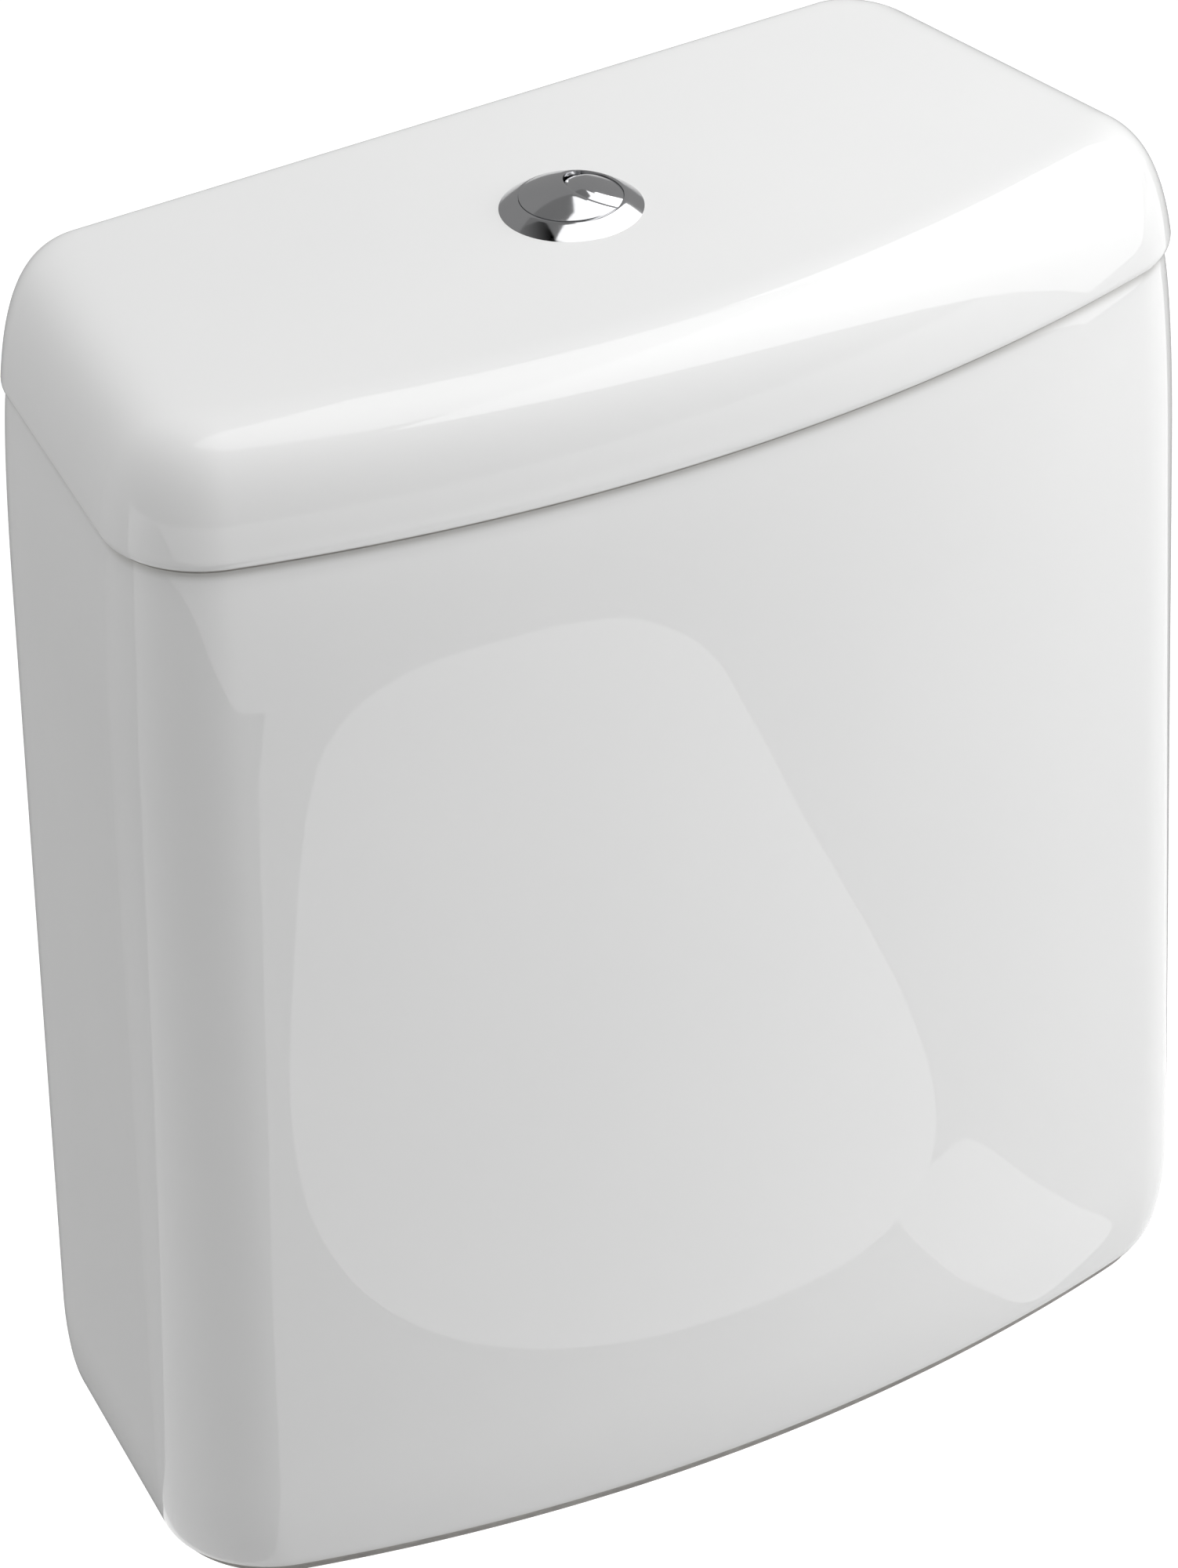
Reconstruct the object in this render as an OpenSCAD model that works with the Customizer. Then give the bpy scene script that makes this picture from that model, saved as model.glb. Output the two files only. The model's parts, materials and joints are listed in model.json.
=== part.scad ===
/* [Tank] */
// Height of the tank up to its rim
tank_height = 375; // [350:1:400]
// Width across the back
back_width = 332; // [320:1:350]
// Depth from the back to the middle of the front
tank_depth = 179; // [172:1:190]
// Distance from the back to the axis of the flush valve
outlet_setback = 81; // [77:1:86]
// How far each side opens out for each millimetre of depth
side_flare = 0.175; // [0.12:0.005:0.22]
// Radius of the bowed front
front_radius = 565; // [500:5:700]
// Radius of the two front corners, seen from above
front_corner = 35; // [30:1:40]
// Radius of the two back corners, seen from above
back_corner = 32; // [24:1:36]
// How far the front leans back at the bottom
front_lean = 2.5; // [0:0.5:8]
// Thickness of the walls
wall = 10; // [8:0.5:12]
// Thickness of the floor
floor_thick = 9; // [7:0.5:12]
// Radius between the walls and the floor, inside
inner_corner = 12; // [6:1:16]
// Height of the unglazed foot
foot_height = 3; // [2:0.5:5]
// How far the foot stands in from the wall
foot_inset = 7; // [6.5:0.5:9]
// Width of the foot
foot_width = 12; // [8:1:16]
// Height of the rounded bottom edge
edge_rise = 34; // [20:1:40]
// How far the bottom edge draws in
edge_in = 6; // [4:0.2:6]
// How much rounder the front corners are at the bottom edge
foot_corner_more = 8; // [0:1:10]
// Height over which the rim rolls in
rim_roll_height = 70; // [40:1:90]
// How far the rim rolls in at the seam
rim_roll = 4.5; // [2:0.25:5]

/* [Lid] */
// Height of the lid above the seam
lid_height = 40; // [36:1:46]
// Height of the long curve from the side to the top
lid_roll_rise = 54; // [50:1:58]
// How far that curve draws the sides and front in
lid_roll_in = 40; // [36:1:44]
// How softly that curve runs out into the top, 2 for an ellipse
lid_soft = 4.7; // [4.3:0.1:5]
// How much of the draw the lid's corners keep as extra roundness
lid_corner_soft = 0.15; // [0:0.05:0.4]
// How far the top draws in at the back
lid_back_in = 13; // [10:0.5:16]
// How far the lid keeps clear of the wall behind
lid_back_clear = 0.8; // [0.4:0.1:2]
// Height of the rounded lower edge
lid_edge = 3; // [2:0.5:5]
// How far the lower edge draws in at the seam
lid_edge_in = 2.75; // [1.5:0.25:4]
// Thickness of the top plate
lid_plate = 11; // [9:0.5:13]
// How far the locating lip reaches into the tank
lip_depth = 7; // [5:0.5:10]
// Thickness of the locating lip
lip_wall = 5.5; // [4.5:0.5:7]
// Gap between the lip and the tank wall
lip_clear = 2.5; // [1.5:0.25:3.5]

/* [Flush button] */
// Diameter of the domed button with its bezel
button_dia = 44.8; // [43:0.2:47]
// Height of the dome above the lid
dome_height = 8; // [5:0.5:9]
// Radius of the bore in which the two keys slide
key_bore_r = 19.2; // [18.8:0.1:19.4]
// Radius of the opening in the bezel in which the two keys show
key_show_r = 16.3; // [15.8:0.1:16.8]
// Wall of the threaded barrel
barrel_wall = 1.2; // [1:0.1:1.4]
// Length of the threaded barrel below the lid's top
barrel_length = 31; // [28:1:36]
// Radius of the hole in the lid
button_hole_r = 20.9; // [20.7:0.1:21.2]
// Gap round the sliding keys
key_gap = 0.3; // [0.25:0.05:0.5]
// Radius of the arc that cuts off the half flush key
lens_r = 13; // [12.5:0.1:13.5]
// Distance from the axis to the middle of that arc
lens_out = 12; // [11.5:0.1:12.5]
// Direction of the half flush key
lens_turn = -5; // [-15:1:5]
// How far the half flush key sits below the dome
half_key_drop = 0.8; // [0:0.1:1.5]
// Depth of the keys below the lid's top
key_depth = 7; // [6:0.5:9]
// Travel of a key
press_travel = 6; // [5:0.25:6.5]
// Radius of the push rods
rod_r = 3; // [2.5:0.25:3.25]
// Distance of the push rods from the axis, sideways
rod_out = 12; // [11.5:0.25:12.5]
// Distance of the push rods from the axis, front to back
rod_side = 5; // [4.5:0.25:5.5]
// Mean radius of the return springs
spring_r = 4.6; // [4.4:0.1:5]
// Wire diameter of the return springs
spring_wire = 0.9; // [0.7:0.1:1]
// Number of curls in a return spring
spring_curls = 6; // [4:1:7]

/* [Flush valve] */
// Outside radius of the threaded outlet tail
tail_r = 29.8; // [29.4:0.1:30]
// Radius of the outlet bore
outlet_r = 25; // [24:0.25:26]
// How far the outlet tail reaches below the foot
tail_drop = 40; // [36:1:46]
// Radius of the outlet hole in the tank floor
outlet_hole_r = 31.5; // [31:0.25:33]
// Radius of the flange inside the tank
flange_r = 41; // [40:0.5:43]
// Radius of the seat
seat_r = 27.5; // [27:0.25:28]
// Outside radius of the full flush tube
tube_r = 23; // [22.5:0.25:23.5]
// Wall of the full flush tube
tube_wall = 2.5; // [2:0.25:3]
// Height of the half flush seat above the floor
half_seat_height = 138; // [130:1:146]
// Outside radius of the overflow tube
overflow_r = 13.5; // [13:0.25:14]
// Wall of the overflow tube
overflow_wall = 2.5; // [2:0.25:3]
// Height of the overflow's top above the floor
overflow_height = 246; // [240:1:248]
// Height of the lever pin above the floor
lever_height = 288; // [286:1:296]
// Radius of the lever pin
lever_pin_r = 2.5; // [2:0.25:3]
// Length of a lever from its pin to its lifting nose
lift_arm = 28; // [27.5:0.25:28.5]
// Radius of a lever's two noses
nose_r = 3; // [2.5:0.25:3]

/* [Fill valve] */
// Distance of the fill valve from the flush valve
fill_out = 105; // [103:1:110]
// Radius of the supply tail's thread
supply_r = 10.48; // [10.2:0.01:10.6]
// Radius of the supply bore
supply_bore_r = 7; // [6:0.25:7.5]
// How far the supply tail reaches below the foot
supply_drop = 42; // [38:1:46]
// Radius of the inlet hole in the tank floor
inlet_hole_r = 12; // [11.5:0.25:12.5]
// Outside radius of the riser
riser_r = 11; // [10.5:0.25:11.5]
// Height of the valve head above the floor
head_height = 246; // [240:1:256]
// Radius of the valve head
head_r = 21; // [20:0.25:22]
// Outside radius of the float
float_r = 36; // [35:0.5:36.5]
// Height of the float
float_tall = 48; // [40:1:54]
// Wall of the float
float_wall = 2; // [1.6:0.1:2.6]
// Travel of the float
float_travel = 12; // [10:0.5:13]
// Length of the float lever from its pin to the float link
float_arm = 25; // [24.5:0.25:26]
// Length of the float lever from its pin to the plunger
plunger_arm = 8; // [7.5:0.25:8.5]
// Distance of the outlet spout behind the valve head
spout_out = 46; // [45:0.5:48]

/* [Fixings] */
// Distance of each coupling bolt from the flush valve
bolt_out = 72; // [70:0.5:74]
// Radius of the bolts' thread
bolt_r = 4; // [3.5:0.1:4.2]
// Radius of the bolts' plain shank, which the pan takes
shank_r = 3.55; // [3:0.05:3.6]
// How far the bolts reach below the foot
bolt_drop = 54; // [52:1:64]
// How far the pan washers lie below the foot
pan_gap = 33; // [30:1:36]
// Radius of the bolt holes in the tank floor
bolt_hole_r = 5; // [4.75:0.25:6]
// Distance between the two wall screw holes
screw_spacing = 190; // [170:2:210]
// Distance of the wall screw holes below the rim
screw_below_rim = 45; // [40:1:60]
// Radius of the wall screw holes
screw_hole_r = 4.25; // [3:0.25:5]

/* [Hidden] */
$fn = 64;

// Colours
china = "white";
chrome = "silver";
white_plastic = "gainsboro";
grey_plastic = "lightsteelblue";
blue_plastic = "steelblue";
red_plastic = "indianred";
rubber = "dimgray";
steel = "lightgray";
brass = "goldenrod";

// Small clearances and steps that many pieces share
thread_gap = 0.05;
run_gap = 0.05;
rest_gap = 0.3;
loose_gap = 0.4;
cut_over = 1;

// Number of steps along each curve of the pottery
front_steps = 13;
corner_steps = 8;
back_steps = 6;
edge_steps = 4;
foot_steps = 8;
roll_steps = 4;
lid_steps = 10;
least_corner = 4;

// Levels of the pottery
front_y = outlet_setback - tank_depth;
floor_z = foot_height + floor_thick;
rim_z = tank_height;
lid_top = tank_height + lid_height;
ceiling_z = lid_top - lid_plate;
lip_out_inset = wall + lip_clear;
lip_in_inset = lip_out_inset + lip_wall;
lip_round = 1.2;
ceiling_round = 8;
ceiling_bend = 0.3;

// Points along an arc from angle a to angle b, leaving out the first
function arc(cx, cy, r, a, b, steps) =
    [for (i = [1 : steps]) let (t = a + (b - a) * i / steps) [cx + r * cos(t), cy + r * sin(t)]];

// Outline seen from above, drawn in by inset at the front and sides and by back_in at the back
function plan(inset, back_in, lean, corner_more = 0, back_more = 0) =
    let (
        slant = sqrt(1 + side_flare * side_flare),
        yb = outlet_setback - back_in,
        side_x = back_width / 2 - inset * slant + side_flare * outlet_setback,
        bow_r = front_radius - inset,
        bow_y = front_y + lean + front_radius,
        front_r = max(front_corner + corner_more - inset, least_corner),
        back_r = max(back_corner + back_more - inset, least_corner),
        k = side_x - front_r * slant,
        qa = 1 + side_flare * side_flare,
        qb = -2 * (k * side_flare + bow_y),
        qc = k * k + bow_y * bow_y - (bow_r - front_r) * (bow_r - front_r),
        fy = (-qb - sqrt(qb * qb - 4 * qa * qc)) / (2 * qa),
        fx = k - side_flare * fy,
        by = yb - back_r,
        bx = side_x - back_r * slant - side_flare * by,
        side_a = atan(side_flare),
        front_a = atan2(fy - bow_y, fx),
        right = concat(
            arc(0, bow_y, bow_r, -90, front_a, front_steps),
            arc(fx, fy, front_r, front_a, side_a, corner_steps),
            [[bx + back_r * cos(side_a), by + back_r * sin(side_a)]],
            arc(bx, by, back_r, side_a, 90, back_steps)
        ),
        last = len(right) - 1
    )
    concat([[0, bow_y - bow_r]], right, [for (i = [last : -1 : 0]) [-right[i][0], right[i][1]]]);

// One ring of the loft at height z
function ring(z, inset, back_in, lean, corner_more = 0, back_more = 0) =
    [for (p = plan(inset, back_in, lean, corner_more, back_more)) [p[0], p[1], z]];

// How far the tank's front stands back at height z
function lean_at(z) = front_lean * (1 - z / tank_height);

function tank_rings() = concat(
    [
        ring(foot_height, foot_inset + foot_width, foot_inset + foot_width, front_lean),
        ring(0, foot_inset + foot_width, foot_inset + foot_width, front_lean),
        ring(0, foot_inset, foot_inset, front_lean, foot_corner_more),
        ring(foot_height, foot_inset, foot_inset, lean_at(foot_height), foot_corner_more)
    ],
    [for (i = [0 : foot_steps])
        let (
            a = 90 * i / foot_steps,
            z = foot_height + edge_rise * (1 - cos(a)),
            left = 1 - sin(a)
        )
        ring(z, edge_in * left, edge_in * left, lean_at(z), foot_corner_more * left)],
    [for (i = [0 : roll_steps])
        let (
            a = 90 * i / roll_steps,
            z = rim_z - rim_roll_height * (1 - sin(a))
        )
        ring(z, rim_roll * (1 - cos(a)), 0, lean_at(z))],
    [ring(rim_z, wall, wall, 0)],
    [for (i = [0 : edge_steps])
        let (
            a = 90 * i / edge_steps,
            z = floor_z + inner_corner * (1 - sin(a)),
            inset = wall + inner_corner * (1 - cos(a))
        )
        ring(z, inset, inset, lean_at(z))]
);

// Inset of the lid's outside at height z, on one long curve that softens upwards
function lid_inset(z) =
    let (up = max(0, (z - lid_top + lid_roll_rise) / lid_roll_rise))
    lid_roll_in * (1 - pow(max(0, 1 - up * up), 1 / lid_soft));

function lid_outer_ring(z, inset) =
    let (more = lid_corner_soft * inset)
    ring(z, inset, lid_back_clear + lid_back_in * inset / lid_roll_in, 0, more, more);

function lid_rings() =
    let (
        edge_z = rim_z + lid_edge,
        start_a = asin(max(0, (edge_z - lid_top + lid_roll_rise) / lid_roll_rise)),
        lip_z = rim_z - lip_depth
    )
    concat(
        [
            ring(ceiling_z, lip_in_inset + ceiling_round, lip_in_inset + ceiling_round, 0),
            ring(ceiling_z - ceiling_round * ceiling_bend, lip_in_inset + ceiling_round * ceiling_bend,
                lip_in_inset + ceiling_round * ceiling_bend, 0),
            ring(ceiling_z - ceiling_round, lip_in_inset, lip_in_inset, 0),
            ring(lip_z + lip_round, lip_in_inset, lip_in_inset, 0),
            ring(lip_z, lip_in_inset - lip_round, lip_in_inset - lip_round, 0),
            ring(lip_z, lip_out_inset + lip_round, lip_out_inset + lip_round, 0),
            ring(lip_z + lip_round, lip_out_inset, lip_out_inset, 0),
            ring(rim_z, lip_out_inset, lip_out_inset, 0)
        ],
        [for (i = [0 : edge_steps - 1])
            let (
                a = 90 * i / edge_steps,
                z = rim_z + lid_edge * (1 - cos(a))
            )
            lid_outer_ring(z, lid_inset(edge_z) + (lid_edge_in - lid_inset(edge_z)) * (1 - sin(a)))],
        [for (i = [0 : lid_steps])
            let (
                a = start_a + (90 - start_a) * i / lid_steps,
                z = lid_top - lid_roll_rise * (1 - sin(a))
            )
            lid_outer_ring(z, lid_inset(z))]
    );

// Closed skin through a list of rings, all with the same number of points
module loft(rings) {
    n = len(rings[0]);
    last = len(rings) - 1;
    points = [for (r = rings) each r];
    sides = [for (k = [0 : last - 1], i = [0 : n - 1])
        let (j = (i + 1) % n)
        each [
            [k * n + i, (k + 1) * n + i, (k + 1) * n + j],
            [k * n + i, (k + 1) * n + j, k * n + j]
        ]];
    start_cap = [for (i = [0 : n - 1]) i];
    end_cap = [for (i = [n - 1 : -1 : 0]) last * n + i];
    polyhedron(points = points, faces = concat([start_cap], sides, [end_cap]));
}

// Ring or washer from radius a to radius b, from height z0 to height z1
module sleeve(a, b, z0, z1) {
    translate([0, 0, z0])
        rotate_extrude()
            translate([a, 0])
                square([b - a, z1 - z0]);
}

// Solid cylinder from height z0 to height z1
module rod(r, z0, z1) {
    translate([0, 0, z0])
        cylinder(r = r, h = z1 - z0);
}

// Box between two corners
module block(low, high) {
    translate(low)
        cube(high - low);
}

// Cylinder along Y from y0 to y1
module pin_y(r, y0, y1) {
    translate([0, y1, 0])
        rotate([90, 0, 0])
            cylinder(r = r, h = y1 - y0);
}

// Cylinder along X from x0 to x1
module pin_x(r, x0, x1) {
    translate([x0, 0, 0])
        rotate([0, 90, 0])
            cylinder(r = r, h = x1 - x0);
}

// Six-sided nut with its corners at radius r
module hex_nut(r, bore_r, z0, z1) {
    difference() {
        translate([0, 0, z0])
            cylinder(r = r, h = z1 - z0, $fn = 6);
        rod(bore_r, z0 - cut_over, z1 + cut_over);
    }
}

// Puts its children at both coupling bolts
module at_bolts() {
    for (side = [-1, 1])
        translate([side * bolt_out, 0, 0])
            children();
}

// Puts its children on the fill valve's axis
module at_fill() {
    translate([fill_out, 0, 0])
        children();
}

// Pottery

module tank() {
    color(china)
        difference() {
            loft(tank_rings());
            rod(outlet_hole_r, foot_height - cut_over, floor_z + cut_over);
            at_fill()
                rod(inlet_hole_r, foot_height - cut_over, floor_z + cut_over);
            at_bolts()
                rod(bolt_hole_r, foot_height - cut_over, floor_z + cut_over);
            for (side = [-1, 1])
                translate([side * screw_spacing / 2, 0, rim_z - screw_below_rim])
                    pin_y(screw_hole_r, outlet_setback - wall - cut_over, outlet_setback + cut_over);
        }
}

module lid() {
    color(china)
        difference() {
            loft(lid_rings());
            rod(button_hole_r, ceiling_z - cut_over, lid_top + cut_over);
        }
}

// Flush button

bezel_r = button_dia / 2;
barrel_r = key_bore_r + barrel_wall;
barrel_z = lid_top - barrel_length;
barrel_floor = 3;
barrel_floor_z = barrel_z + barrel_floor;
dome_r = (bezel_r * bezel_r + dome_height * dome_height) / (2 * dome_height);
dome_z = lid_top + dome_height - dome_r;
dome_sides = 128;
key_r = key_bore_r - key_gap;
key_top_r = key_show_r - key_gap;
key_flange_z = lid_top - key_gap;
key_z = lid_top - key_depth;
button_nut_r = 28;
button_nut_tall = 8;

module at_full_rod() {
    translate([-rod_out, -rod_side, 0])
        children();
}

module at_half_rod() {
    translate([rod_out, rod_side, 0])
        children();
}

// Part of the dome above height z, out to radius r
module dome(r, z) {
    intersection() {
        translate([0, 0, dome_z])
            sphere(r = dome_r, $fn = dome_sides);
        rod(r, z, lid_top + dome_height + cut_over);
    }
}

// Column that cuts the half flush key out of the dome
module lens(r) {
    rotate(lens_turn)
        translate([lens_out, 0, 0])
            rod(r, barrel_z, lid_top + dome_height + cut_over);
}

module button_bezel() {
    color(chrome)
        difference() {
            union() {
                dome(bezel_r, lid_top);
                rod(barrel_r, barrel_z, lid_top);
            }
            rod(key_bore_r, barrel_floor_z, lid_top);
            rod(key_show_r, barrel_floor_z, lid_top + dome_height + cut_over);
            at_full_rod()
                rod(rod_r + loose_gap, barrel_z - cut_over, barrel_floor_z + cut_over);
            at_half_rod()
                rod(rod_r + loose_gap, barrel_z - cut_over, barrel_floor_z + cut_over);
        }
}

// Both keys in one piece: a domed top in the bezel's opening and a flange below the bezel
module key_pair(z) {
    dome(key_top_r, z);
    rod(key_r, z, key_flange_z);
}

module full_flush_key() {
    color(chrome)
        difference() {
            key_pair(key_z);
            lens(lens_r + key_gap);
        }
}

module half_flush_key() {
    color(chrome)
        translate([0, 0, -half_key_drop])
            intersection() {
                key_pair(key_z + half_key_drop);
                lens(lens_r - key_gap);
            }
}

module button_nut() {
    color(white_plastic)
        hex_nut(button_nut_r, barrel_r + thread_gap, ceiling_z - button_nut_tall, ceiling_z);
}

// Push rods reach down to rest just above the levers
lever_z = floor_z + lever_height;
lever_tilt = asin(press_travel / 2 / rod_out);
rod_end_z = lever_z + press_travel / 2 + nose_r + rest_gap;

module push_rod() {
    rod(rod_r, rod_end_z, key_z);
}

module full_push_rod() {
    color(white_plastic)
        at_full_rod()
            push_rod();
}

module half_push_rod() {
    color(white_plastic)
        at_half_rod()
            push_rod();
}

// Return springs: one tube along a helix between the barrel's floor and the key
spring_rings = 8;
spring_sides = 6;
spring_z0 = barrel_floor_z + spring_wire / 2;
spring_z1 = key_z - spring_wire / 2;
spring_count = spring_curls * spring_rings;

function spring_point(i) =
    let (a = 360 * i / spring_rings, t = i / spring_count)
    [spring_r * cos(a), spring_r * sin(a), spring_z0 + (spring_z1 - spring_z0) * t];

function spring_ring(i) =
    let (a = 360 * i / spring_rings, c = spring_point(i))
    [for (k = [0 : spring_sides - 1])
        let (b = 360 * k / spring_sides, w = spring_wire / 2 * cos(b))
        [c[0] + w * cos(a), c[1] + w * sin(a), c[2] + spring_wire / 2 * sin(b)]];

spring_least_gap = min([for (i = [0 : spring_count], j = [i + spring_rings / 2 : spring_count])
    norm(spring_point(i) - spring_point(j)) - spring_wire]);
echo(spring_least_gap = spring_least_gap);

module return_spring() {
    n = spring_sides;
    last = spring_count;
    points = [for (i = [0 : last]) each spring_ring(i)];
    sides = [for (i = [0 : last - 1], k = [0 : n - 1])
        let (j = (k + 1) % n)
        each [
            [i * n + k, i * n + j, (i + 1) * n + j],
            [i * n + k, (i + 1) * n + j, (i + 1) * n + k]
        ]];
    start_cap = [for (k = [n - 1 : -1 : 0]) k];
    end_cap = [for (k = [0 : n - 1]) last * n + k];
    polyhedron(points = points, faces = concat([start_cap], sides, [end_cap]));
}

module full_return_spring() {
    color(steel)
        at_full_rod()
            return_spring();
}

module half_return_spring() {
    color(steel)
        at_half_rod()
            return_spring();
}

// Flush valve

washer_thick = 3;
flange_thick = 4;
seat_rise = 4;
seal_thick = 4;
flange_z = floor_z + washer_thick;
flange_top = flange_z + flange_thick;
seat_z = flange_top + seat_rise;
tube_z = seat_z + seal_thick;
seat_wall = 1.5;
seal_over = 2;
base_nut_tall = 12;
base_nut_r = 44;
pan_seal_tall = 24;
pan_seal_r = 42;
pan_seal_round = 5;

module valve_base() {
    color(white_plastic)
        difference() {
            union() {
                rod(tail_r, -tail_drop, flange_z);
                rod(flange_r, flange_z, flange_top);
                rod(seat_r + seat_wall, flange_top, seat_z);
            }
            rod(outlet_r, -tail_drop - cut_over, seat_z + cut_over);
            rod(seat_r - seat_wall, flange_top, seat_z + cut_over);
        }
}

module base_washer() {
    color(rubber)
        sleeve(tail_r + rest_gap, flange_r, floor_z, flange_z);
}

module base_nut() {
    color(white_plastic)
        hex_nut(base_nut_r, tail_r + thread_gap, foot_height - base_nut_tall, foot_height);
}

module pan_seal() {
    top = foot_height - base_nut_tall;
    color(rubber)
        difference() {
            union() {
                rod(pan_seal_r, top - pan_seal_tall + pan_seal_round, top);
                translate([0, 0, top - pan_seal_tall])
                    cylinder(r1 = pan_seal_r - pan_seal_round, r2 = pan_seal_r, h = pan_seal_round);
            }
            rod(tail_r + rest_gap, top - pan_seal_tall - cut_over, top + cut_over);
        }
}

// Full flush tube, which carries the main seal and is the half flush seat at its top
lift = press_travel * lift_arm / rod_out;
tube_bore_r = tube_r - tube_wall;
half_seat_z = floor_z + half_seat_height;
tube_flange_thick = 4;
tube_flange_r = seat_r + seat_wall + seal_over / 2;
half_flange_thick = 4;
half_seat_over = 3;
half_flange_r = tube_r + half_seat_over;
half_seal_in = 0.5;
hook_wide = 12;
hook_thick = 5;
strap_thick = 4;
strap_gap = 1;
strap_x = lift_arm + nose_r + strap_gap;
hook_reach = lift_arm - nose_r - strap_gap;
hook_z = lever_z - lift / 2 + nose_r + rest_gap;
arm_tall = 8;
guide_height = 72;
guide_z = floor_z + guide_height;
guide_tall = 4;
tube_arm_z = guide_z + guide_tall + lift;
float_ring_tall = 30;
float_ring_r = 30;

// Strap with a hook on top, on the +X side, from an arm at height z
module lifting_strap(inner_x, z) {
    half = hook_wide / 2;
    block([inner_x, -half, z], [strap_x + strap_thick, half, z + arm_tall]);
    block([strap_x, -half, z], [strap_x + strap_thick, half, hook_z + hook_thick]);
    block([hook_reach, -half, hook_z], [strap_x + strap_thick, half, hook_z + hook_thick]);
}

module full_flush_tube() {
    color(blue_plastic)
        union() {
            sleeve(tube_bore_r, tube_r, tube_z, half_seat_z);
            sleeve(tube_bore_r, tube_flange_r, tube_z, tube_z + tube_flange_thick);
            sleeve(tube_bore_r, half_flange_r, half_seat_z - half_flange_thick, half_seat_z);
            lifting_strap(tube_r - tube_wall / 2, tube_arm_z);
        }
}

module main_seal() {
    color(rubber)
        sleeve(tube_bore_r, seat_r + seat_wall + seal_over, seat_z, tube_z);
}

module flush_float() {
    color(white_plastic)
        sleeve(tube_r + rest_gap, float_ring_r,
            tube_z + tube_flange_thick, tube_z + tube_flange_thick + float_ring_tall);
}

// Overflow tube, which is lifted alone for a half flush
overflow_bore_r = overflow_r - overflow_wall;
overflow_top = floor_z + overflow_height;
overflow_start = 48;
overflow_z = floor_z + overflow_start;
half_plate_z = half_seat_z + seal_thick;
overflow_arm_rise = 42;
overflow_arm_z = half_plate_z + overflow_arm_rise;
fin_thick = 2;
fin_tall = 70;
fin_gap = 0.4;

module overflow_tube() {
    color(red_plastic)
        difference() {
            union() {
                rod(overflow_r, overflow_z, overflow_top);
                rod(half_flange_r, half_plate_z, half_plate_z + half_flange_thick);
                for (turn = [45, 135])
                    rotate(turn)
                        block(
                            [-tube_bore_r + fin_gap, -fin_thick / 2, overflow_z],
                            [tube_bore_r - fin_gap, fin_thick / 2, overflow_z + fin_tall]
                        );
                mirror([1, 0, 0])
                    lifting_strap(overflow_r - overflow_wall / 2, overflow_arm_z);
            }
            rod(overflow_bore_r, overflow_z - cut_over, overflow_top + cut_over);
        }
}

module half_seal() {
    color(rubber)
        sleeve(overflow_r + rest_gap, half_flange_r - half_seal_in, half_seat_z, half_plate_z);
}

// Cage that stands on the base, guides the tube and carries the levers
cage_foot_tall = 5;
post_gap = 1.5;
post_in = seat_r + seat_wall + seal_over + post_gap;
post_step = 0.5;
post_thick = 5;
post_wide = 14;
post_over_pin = 9;
post_top = lever_z + post_over_pin;
guide_wall = 4.5;
guide_arm_wide = 8;
cage_ring_gap = 1.3;
cage_ring_in = norm([strap_x + strap_thick, hook_wide / 2]) + cage_ring_gap;
cage_ring_wall = 4;
cage_ring_tall = 6;
cage_ring_below = 20;
cage_ring_z = lever_z - cage_ring_below;
cage_foot_in = 1;

module valve_cage() {
    color(grey_plastic)
        difference() {
            union() {
                sleeve(post_in, flange_r - cage_foot_in, flange_top, flange_top + cage_foot_tall);
                sleeve(cage_ring_in, cage_ring_in + cage_ring_wall,
                    cage_ring_z, cage_ring_z + cage_ring_tall);
                sleeve(tube_r + loose_gap, tube_r + loose_gap + guide_wall, guide_z, guide_z + guide_tall);
                for (side = [0, 180])
                    rotate(side) {
                        block(
                            [-post_wide / 2, post_in + post_step, flange_top],
                            [post_wide / 2, post_in + post_step + post_thick, post_top]
                        );
                        block(
                            [-guide_arm_wide / 2, tube_r + guide_wall / 2, guide_z],
                            [guide_arm_wide / 2, post_in + post_thick / 2, guide_z + guide_tall]
                        );
                        block(
                            [-guide_arm_wide / 2, post_in + post_thick / 2, cage_ring_z],
                            [
                                guide_arm_wide / 2,
                                cage_ring_in + cage_ring_wall / 2,
                                cage_ring_z + cage_ring_tall
                            ]
                        );
                    }
            }
            translate([0, 0, lever_z])
                pin_y(lever_pin_r, -flange_r, flange_r);
        }
}

// Levers: a key's rod pushes one end down and the other end lifts
flush_lever_wide = 8;
lever_y0 = rod_side - flush_lever_wide / 2;
lever_y1 = rod_side + flush_lever_wide / 2;
lever_hub_wall = 3;
lever_hub_r = lever_pin_r + lever_hub_wall;
lever_thick = 3.6;

module lever() {
    difference() {
        union() {
            pin_y(lever_hub_r, lever_y0, lever_y1);
            translate([rod_out, 0, 0])
                pin_y(nose_r, lever_y0, lever_y1);
            translate([-lift_arm, 0, 0])
                pin_y(nose_r, lever_y0, lever_y1);
            block([-lift_arm, lever_y0, -lever_thick / 2], [rod_out, lever_y1, lever_thick / 2]);
        }
        pin_y(lever_pin_r + run_gap, lever_y0 - cut_over, lever_y1 + cut_over);
    }
}

module half_lever() {
    color(red_plastic)
        translate([0, 0, lever_z])
            rotate([0, -lever_tilt, 0])
                lever();
}

module full_lever() {
    color(blue_plastic)
        translate([0, 0, lever_z])
            rotate(180)
                rotate([0, -lever_tilt, 0])
                    lever();
}

module lever_pin() {
    post_out = post_in + post_step + post_thick;
    color(steel)
        translate([0, 0, lever_z])
            pin_y(lever_pin_r, -post_out, post_out);
}

// Fill valve

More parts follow.
